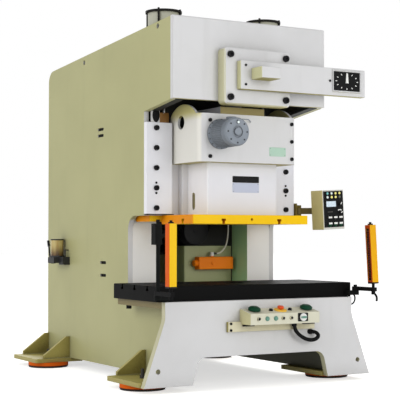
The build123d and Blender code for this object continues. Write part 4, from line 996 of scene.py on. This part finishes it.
moulded("yellow_plastic", (246, 196, 56), 0.34, 0.2)
collar = turned([
    (0.0120, 0.0066), (0.0120, 0.0082), (0.0440, 0.0082), (0.0472, 0.0064), (0.0474, 0.0), (0.0458, 0.0),
    (0.0458, 0.0066), (0.0120, 0.0066),
], 40)
piece_from("stop_collar", [moved(collar, on_slope(station_x))], "frame", "yellow_paint", "yellow_plastic")
front_cap = turned([
    (0, 0.0128), (0.0112, 0.0128), (0.0136, 0.0112), (0.0142, 0.0050), (0.0168, 0.0042), (0.0176, 0.0),
], 28)
dark_cap = turned([
    (0, 0.0118), (0.0088, 0.0118), (0.0106, 0.0104), (0.0110, 0.0044), (0.0128, 0.0038), (0.0134, 0.0),
], 24)
slope_cap = turned([
    (0, 0.0148), (0.0110, 0.0148), (0.0134, 0.0132), (0.0140, 0.0060), (0.0160, 0.0040), (0.0166, 0.0),
], 28)
front_row = 0.508
dark_places = [-0.231, -0.021, 0.050]
green_places = [-0.158, -0.085]
dark_caps = [moved(dark_cap, on_station_front(station_x + x, front_row)) for x in dark_places]
dark_caps += [moved(slope_cap, on_slope(station_x + x)) for x in (-0.083, 0.083)]
piece_from("station_caps_black", dark_caps, "frame", "gland_black")
moulded("teal_plastic", (96, 148, 130), 0.3, 0.3)
station_green = [moved(front_cap, on_station_front(station_x + x, front_row)) for x in green_places]
piece_from("station_caps_green", station_green, "frame", "palm_green", "teal_plastic")

selector_low, selector_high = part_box("station_selector")
selector_middle = (selector_low + selector_high) / 2
square = cut_plate(0.088, 0.062, 0.0033, 0.006)
bezel_place = on_station_front(selector_middle.x, selector_middle.z)
piece_from("selector_bezel", [moved(square, bezel_place)], "frame", "gland_black")
grip = cut_plate(0.043, 0.015, 0.0136, 0.006, 0.002)
grip_place = at_front(selector_middle.x, selector_low.y + 0.0128, selector_middle.z)
piece_from("selector_grip", [moved(grip, grip_place)], "selector", "selector_white", "teal_plastic")

# %% [markdown]
# ## The slide's adjusting drive
#
# A geared motor on the slide cover lifts or lowers the slide to suit the
# height of the tool. Its housing is cast aluminium with cooling ribs all
# round, a screwed base and an oil level eye in its front. Ribs and screws are
# rings of copies, so their number is one value that can be changed.

# %% Ribs, screws and level eye of the drive
drive_x, drive_z = -0.257, 1.856
drive_base = -0.951
drive_front = drive_base - 0.245


def rib_shape(thick, high, length):
    """A fin that stands on a round body: x is away from the axis, z along it."""
    def fill(work):
        profile = ((0, -0.5), (0.7, -0.5), (1.0, -0.25), (1.0, 0.25), (0.7, 0.5), (0, 0.5))
        ends = []
        for z in (0, length):
            ends.append([work.verts.new((x * high, y * thick, z)) for x, y in profile])
        work.faces.new(ends[0])
        work.faces.new(ends[1])
        for a in range(len(profile)):
            b = (a + 1) % len(profile)
            work.faces.new((ends[0][a], ends[0][b], ends[1][b], ends[1][a]))
    return shape_object(fill)


def screw_shape(across, high):
    """A hexagon head with chamfered corners, on a washer."""
    washer = across * 0.68
    return turned([
        (0, high), (across * 0.42, high), (across * 0.5, high * 0.86), (across * 0.5, high * 0.2),
        (washer, high * 0.2), (washer, 0.0),
    ], 6)


fin = rib_shape(0.0034, 0.0062, 0.138)
fins = ring.make(
    "drive_grey", Shape=fin, Count=44, Width=0.0985, Height=0.0985, Turn=upright,
    Centre=(drive_x, drive_base - 0.034, drive_z),
)
piece_from("drive_fins", [fins], "slide", "drive_grey")
small_screw = screw_shape(0.009, 0.005)
screws = [
    ring.make(
        "bolt_steel", Shape=small_screw, Count=count, Width=reach, Height=reach, Turn=upright,
        Centre=(drive_x, y, drive_z),
    )
    for count, reach, y in ((16, 0.106, drive_base - 0.016), (8, 0.080, drive_front))
]
piece_from("drive_screws", screws, "slide", "bolt_steel")
# The level eye glows faintly in the lamps' white finish though it is no lamp: a painted highlight.
eye = turned([(0, 0.0040), (0.0060, 0.0036), (0.0086, 0.0018), (0.0090, 0.0)], 24)
eye_place = at_front(drive_x + 0.002, drive_front - 0.008, drive_z + 0.068)
piece_from("drive_level_eye", [moved(eye, eye_place)], "slide", "selector_white", "lamp_white")

# %% [markdown]
# ## Weld beads
#
# The frame is welded from thick plate, and the beads show where feet and
# gussets meet the sides. A bead is a row of small overlapping scales that
# the welder's hand leaves. The path tree walks along a guide line and lays
# one squashed scale every few millimetres, with a little chance in the size
# of each one and a fixed seed, so that every run gives the same bead.


# %% Guide lines and beads
def copies_along(points, finish, **sizes):
    """Copies of a shape along an open line, which the path tree walks."""
    line = bpy.data.meshes.new("guide_line")
    line.from_pydata([tuple(p) for p in points], [(n, n + 1) for n in range(len(points) - 1)], [])
    return path.make(finish, line, **sizes)


scale_shape = turned([(0, 0.0030), (0.0042, 0.0018), (0.0062, -0.0006), (0, -0.0030)], 8)
side_x = 0.668
gusset_top = 0.255
sole_top = 0.078
gusset_reach = 0.230
gusset_faces = (-0.560, -0.530, 0.842, 0.872, 1.299, 1.329)
sole_spans = ((0.825, 1.329), (-1.075, -0.530))
weld_runs = []
for side in (-1, 1):
    inner, outer = side * side_x, side * (side_x + gusset_reach)
    for y in gusset_faces:
        weld_runs.append([(inner, y, sole_top), (inner, y, gusset_top)])
        weld_runs.append([(inner, y, sole_top), (outer, y, sole_top)])
    weld_runs += [[(inner, near, sole_top), (inner, far, sole_top)] for near, far in sole_spans]
beads = [
    copies_along(run, "beige_paint", Shape=scale_shape, Step=0.0075, Vary=0.25, Seed=number)
    for number, run in enumerate(weld_runs)
]
piece_from("weld_beads", beads, "frame", "beige_paint", smooth=60)

# %% [markdown]
# ## Ribs of the conduit, fittings of the hose
#
# Flexible conduit is a plastic tube with rings moulded into it, so that it
# bends without folding. The same path tree lays a ring every few millimetres
# on the points that Blender gives for the cord's middle line. The hose ends
# in crimped fittings with a hexagon, turned once and used twice.

# %% Rings and fittings
conduit_ring = turned([
    (0.0118, -0.0018), (0.0146, -0.0010), (0.0146, 0.0010), (0.0118, 0.0018), (0.0118, -0.0018),
], 16)
rings = copies_along(conduit_line, "conduit_black", Shape=conduit_ring, Step=0.0062, Vary=0.0, Seed=1)
conduit_rings = piece_from("conduit_rings", [rings], "frame", "conduit_black")

fitting = turned([
    (0.0062, 0.030), (0.0082, 0.029), (0.0082, 0.020), (0.0076, 0.019), (0.0082, 0.018), (0.0082, 0.012),
    (0.0105, 0.011), (0.0105, 0.001), (0.0095, 0.0), (0.0, 0.0),
], 6)
hose_starts = (
    (hose_line[0], hose_line[1] - hose_line[0]),
    (hose_line[-1], hose_line[-2] - hose_line[-1]),
)
fitting_meshes = [moved(fitting, Matrix.Translation(spot) @ facing(way)) for spot, way in hose_starts]
hose_fittings = piece_from("hose_fittings", fitting_meshes, "frame", "stud_steel")

port_x = 0.196
port_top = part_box("overload_pump")[1][2]
sleeve = turned([
    (0, 0.0016), (0.0120, 0.0016), (0.0150, -0.0020), (0.0150, -0.0160), (0.0165, -0.0170), (0.0165, -0.0300),
    (0.0136, -0.0300),
], 24)
moulded("port_white", (240, 238, 230), 0.34, 0.1)
sleeve_place = Matrix.Translation((port_x, hose_y, port_top))
piece_from("port_sleeve", [moved(sleeve, sleeve_place)], "frame", "hose_white", "port_white")

for cord, slot_name in ((conduit, "conduit_black"), (hose, "hose_white")):
    cord.data.materials.append(finishes[slot_name])
    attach(cord, "frame")
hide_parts("station_conduit")
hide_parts("pump_hose")

# %% [markdown]
# ## Blank plates
#
# A black and a pale plate on the slide and a greenish one on its cover carry
# notices on a real press. They are left blank here: a thin sheet with rounded
# corners and a rivet in each corner. The rivets are a two by two grid from the
# row tree.


# %% Plates and their rivets
def riveted_plate(name, x, y, z, width, height, finish):
    sheet = cut_plate(width, height, 0.0014, 0.006, 0.0004)
    piece_from(name, [moved(sheet, at_front(x, y, z))], "slide", "white_paint", finish)
    return rows.make(
        "stud_steel", Shape=rivet, Across=2, Up=2, Width=width - 0.018, Height=height - 0.018,
        Turn=upright, Centre=(x, y - 0.0013, z),
    )


rivet = turned([(0, 0.0016), (0.0016, 0.0013), (0.0028, 0.0)], 12)
moulded("plate_grey", (190, 197, 218), 0.34, 0.2)
moulded("plate_pale", (176, 208, 188), 0.34, 0.2)
slide_front_y = -0.853
cover_front_y = -0.951
rivet_meshes = [
    riveted_plate("slide_plate_blank", 0.026, slide_front_y, 1.4675, 0.236, 0.073, "plate_grey"),
    riveted_plate("slide_plate_dark", 0.026, slide_front_y, 1.5305, 0.236, 0.049, "dial_black"),
    riveted_plate("cover_plate_blank", 0.249, cover_front_y, 1.741, 0.150, 0.068, "plate_pale"),
]
piece_from("plate_rivets", rivet_meshes, "slide", "stud_steel")

# %% [markdown]
# ## Black sheets in the cable slots
#
# The side plates have long round-ended slots that cables can come through.
# Each slot holds a black rubber sheet a little below the surface, painted
# shade for the dark inside of the slot. The sheet is the flat plate shape with
# its corners rounded until the ends are half circles, and all eight are one
# piece.

# %% Eight black sheets
# Black sheets, a little below the surface: painted shade of the slots' dark inside.
slot_shade_shape = cut_plate(0.1085, 0.0228, 0.0060, 0.0113, 0.0012)
slot_places = ((0.245, 1.966), (0.245, 1.915), (0.195, 0.892), (0.195, 0.790))
slot_shade_x = 0.652
slot_shade_sheets = [
    moved(slot_shade_shape, Matrix.Translation((side * slot_shade_x, y, z)) @ facing((side, 0, 0)))
    for side in (-1, 1)
    for y, z in slot_places
]
piece_from("cable_slot_plugs", slot_shade_sheets, "frame", "belt_rubber")

# %% [markdown]
# ## Ends of the guides and the height scale
#
# Above each gib a white end plate closes the gap to the side plate and carries
# an oval black rubber dome, painted shade of an oval hole, and a black strip
# along the gib's lower end is painted shade of the gap there. On the
# slide's left face a plain olive strip fills the slot of the height scale.
# The dome is low, and a scaling matrix has stretched it to an oval.

# %% End plates, shade dome and strip, and scale strip
gib_low, gib_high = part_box("gib_plates")
end_x, hole_shade_x, gap_shade_x = 0.5905, 0.585, 0.549
end_back, end_thick, gap_shade_thick = 0.010, 0.006, 0.006
end_plate = cut_plate(0.074, 0.104, end_thick, 0.004, 0.001)
hole_shade_dome = turned([(0, 0.007), (0.024, 0.006), (0.029, 0.003), (0.031, 0.0)], 32)
gap_shade_strip = cut_plate(0.236, 0.036, gap_shade_thick, 0.003, 0.001)
stretch = Matrix.Diagonal((1.0, 1.7, 1.0, 1.0))
end_z = gib_high[2] + 0.053
ends, gib_end_shades = [], []
for side in (-1, 1):
    ends.append(moved(end_plate, at_front(side * end_x, gib_low[1] + end_back, end_z)))
    # The dome and the strip are black: painted shade of an oval hole and of the gap under the gib.
    gib_end_shades.append(moved(hole_shade_dome, at_front(side * hole_shade_x, gib_low[1] + end_back - end_thick, end_z) @ stretch))
    gib_end_shades.append(moved(gap_shade_strip, Matrix.Translation((side * gap_shade_x, gib_low[1] + 0.020, gib_low[2] - gap_shade_thick))))
piece_from("guide_end_plates", ends, "frame", "white_paint", "plain_white")
piece_from("guide_wipers", gib_end_shades, "frame", "belt_rubber")
moulded("scale_olive", (120, 112, 66), 0.5, 0.3)
scale_strip = cut_plate(0.041, 0.127, 0.004, 0.0195, 0.0004)
scale_place = Matrix.Translation((-0.297, -0.642, 1.367)) @ facing((-1, 0, 0))
piece_from("scale_strip", [moved(scale_strip, scale_place)], "slide", "rail_paint", "scale_olive")

# %% [markdown]
# ## Light guards
#
# Two yellow posts stand in front of the tool space, and beams of light run
# between them. A dark window along the inner face of each post covers a row
# of lenses. The window is a long rounded plate, and the lenses are one column
# of the row tree behind it, so they sit flush in it.

# %% Windows and lenses of the posts
moulded("window_black", (34, 12, 10), 0.16, 0.2)
moulded("lens_red", (120, 30, 20), 0.12, 0.2)
post_low, post_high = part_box("left_curtain_post")
post_x, post_y, _ = (post_low + post_high) / 2
post_half = (post_high.x - post_low.x) / 2
window_shape = cut_plate(0.032, 0.390, 0.0016, 0.004, 0.0004)
window_lens = turned([(0, 0.0008), (0.004, 0.0006), (0.0055, 0.0)], 14)
post_foot, window_z, groove_depth = 0.745, 0.9665, 0.003
post_lean = math.radians(-3.4)
foot = Matrix.Translation((-post_x, post_y, post_foot))
right_lean = foot @ Matrix.Rotation(post_lean, 4, "Y") @ foot.inverted()
for side, tilt, body in ((-1, Matrix.Identity(4), "left_curtain"), (1, right_lean, "right_curtain")):
    groove_floor = side * (abs(post_x) - post_half + groove_depth)
    seat = tilt @ Matrix.Translation((groove_floor, post_y, window_z)) @ facing((-side, 0, 0))
    piece_from(body + "_window", [moved(window_shape, seat)], body, "dial_black", "window_black")
    column = rows.make(
        "lens_red", Shape=window_lens, Across=1, Up=21, Width=0.0, Height=0.350, Turn=(0, 0, 0),
        Centre=(0, 0, 0.0016),
    )
    column.transform(seat)
    piece_from(body + "_lenses", [column], body, "dial_black", "lens_red")

# %% [markdown]
# ## Clearing the bench
#
# The small shapes were only patterns to copy from. They ride on nothing and
# aren't part of the press, so they are taken away before the scene is
# finished.

# %% Remove the patterns
patterns = [item for item in scene.objects if item.type == "MESH" and item.parent is None]
print("patterns removed:", len(patterns))
for item in patterns:
    bpy.data.objects.remove(item)

# %% [markdown]
# ## Floor, sky and lamps
#
# The picture shows the press cut out on white. A wide pale floor keeps its
# shadow. The sky has its full strength only where the camera, a mirror or
# glass looks at it and half of that elsewhere, so it doesn't wash the colours
# out. A big soft lamp in front gives the bright front faces, and a weaker one
# on the left leaves the side plate in half shade.


# %% The studio
def background_ray(shading):
    """1 for rays of the camera and those that a mirror or glass sends on, 0 for the others."""
    kinds = ("Is Camera Ray", "Is Glossy Ray", "Is Transmission Ray")
    camera_ray, glossy, through = (shading.node("LightPath", output=kind) for kind in kinds)
    return shading.node("Math", {0: camera_ray + glossy + through, 1: 1.0}, operation="MINIMUM")


def studio_floor():
    """A pale floor that is lit from within only where the camera, a mirror or glass looks at it."""
    finish = Finish("floor_white")
    seen = background_ray(finish)
    clouds = noise(finish, 0.6, 3.0)
    finish.surface(
        base_color=mixed(clouds, (0.86, 0.86, 0.86, 1), (0.90, 0.90, 0.90, 1)),
        roughness=0.8 + 0.1 * clouds,
        emission_color=mixed(seen, (0.0, 0.0, 0.0, 1), (0.62, 0.62, 0.62, 1)),
        emission_strength=1.0,
    )


floor_mesh = bpy.data.meshes.new("studio_floor")
reach = 60.0
corners = [(-reach, -reach, 0), (reach, -reach, 0), (reach, reach, 0), (-reach, reach, 0)]
floor_mesh.from_pydata(corners, [], [(0, 1, 2, 3)])
studio_floor()
floor_mesh.materials.append(finishes["floor_white"])
floor = added("studio_floor", floor_mesh)

scene.world = bpy.data.worlds.new("studio_sky")
sky = Shading(scene.world, "BACKGROUND")
sky.feed(sky.shader.inputs["Strength"], 0.5 + 0.5 * background_ray(sky))
sky.feed(sky.shader.inputs["Color"], (255, 255, 255))


def soft_lamp(name, place, target, size, power):
    data = bpy.data.lights.new(name, "AREA")
    data.shape = "SQUARE"
    data.size = size
    data.energy = power
    lamp = added(name, data)
    lamp.location = place
    lamp.rotation_euler = (Vector(target) - Vector(place)).to_track_quat("-Z", "Y").to_euler()


middle_of_press = (0, 0, 1.4)
soft_lamp("front_lamp", (2.0, -9.5, 2.6), middle_of_press, 5.0, 308)
soft_lamp("left_lamp", (-9.0, -1.5, 4.0), middle_of_press, 5.0, 250)
soft_lamp("back_lamp", (4.0, 8.0, 6.0), middle_of_press, 5.0, 400)
scene.view_settings.view_transform = "Standard"
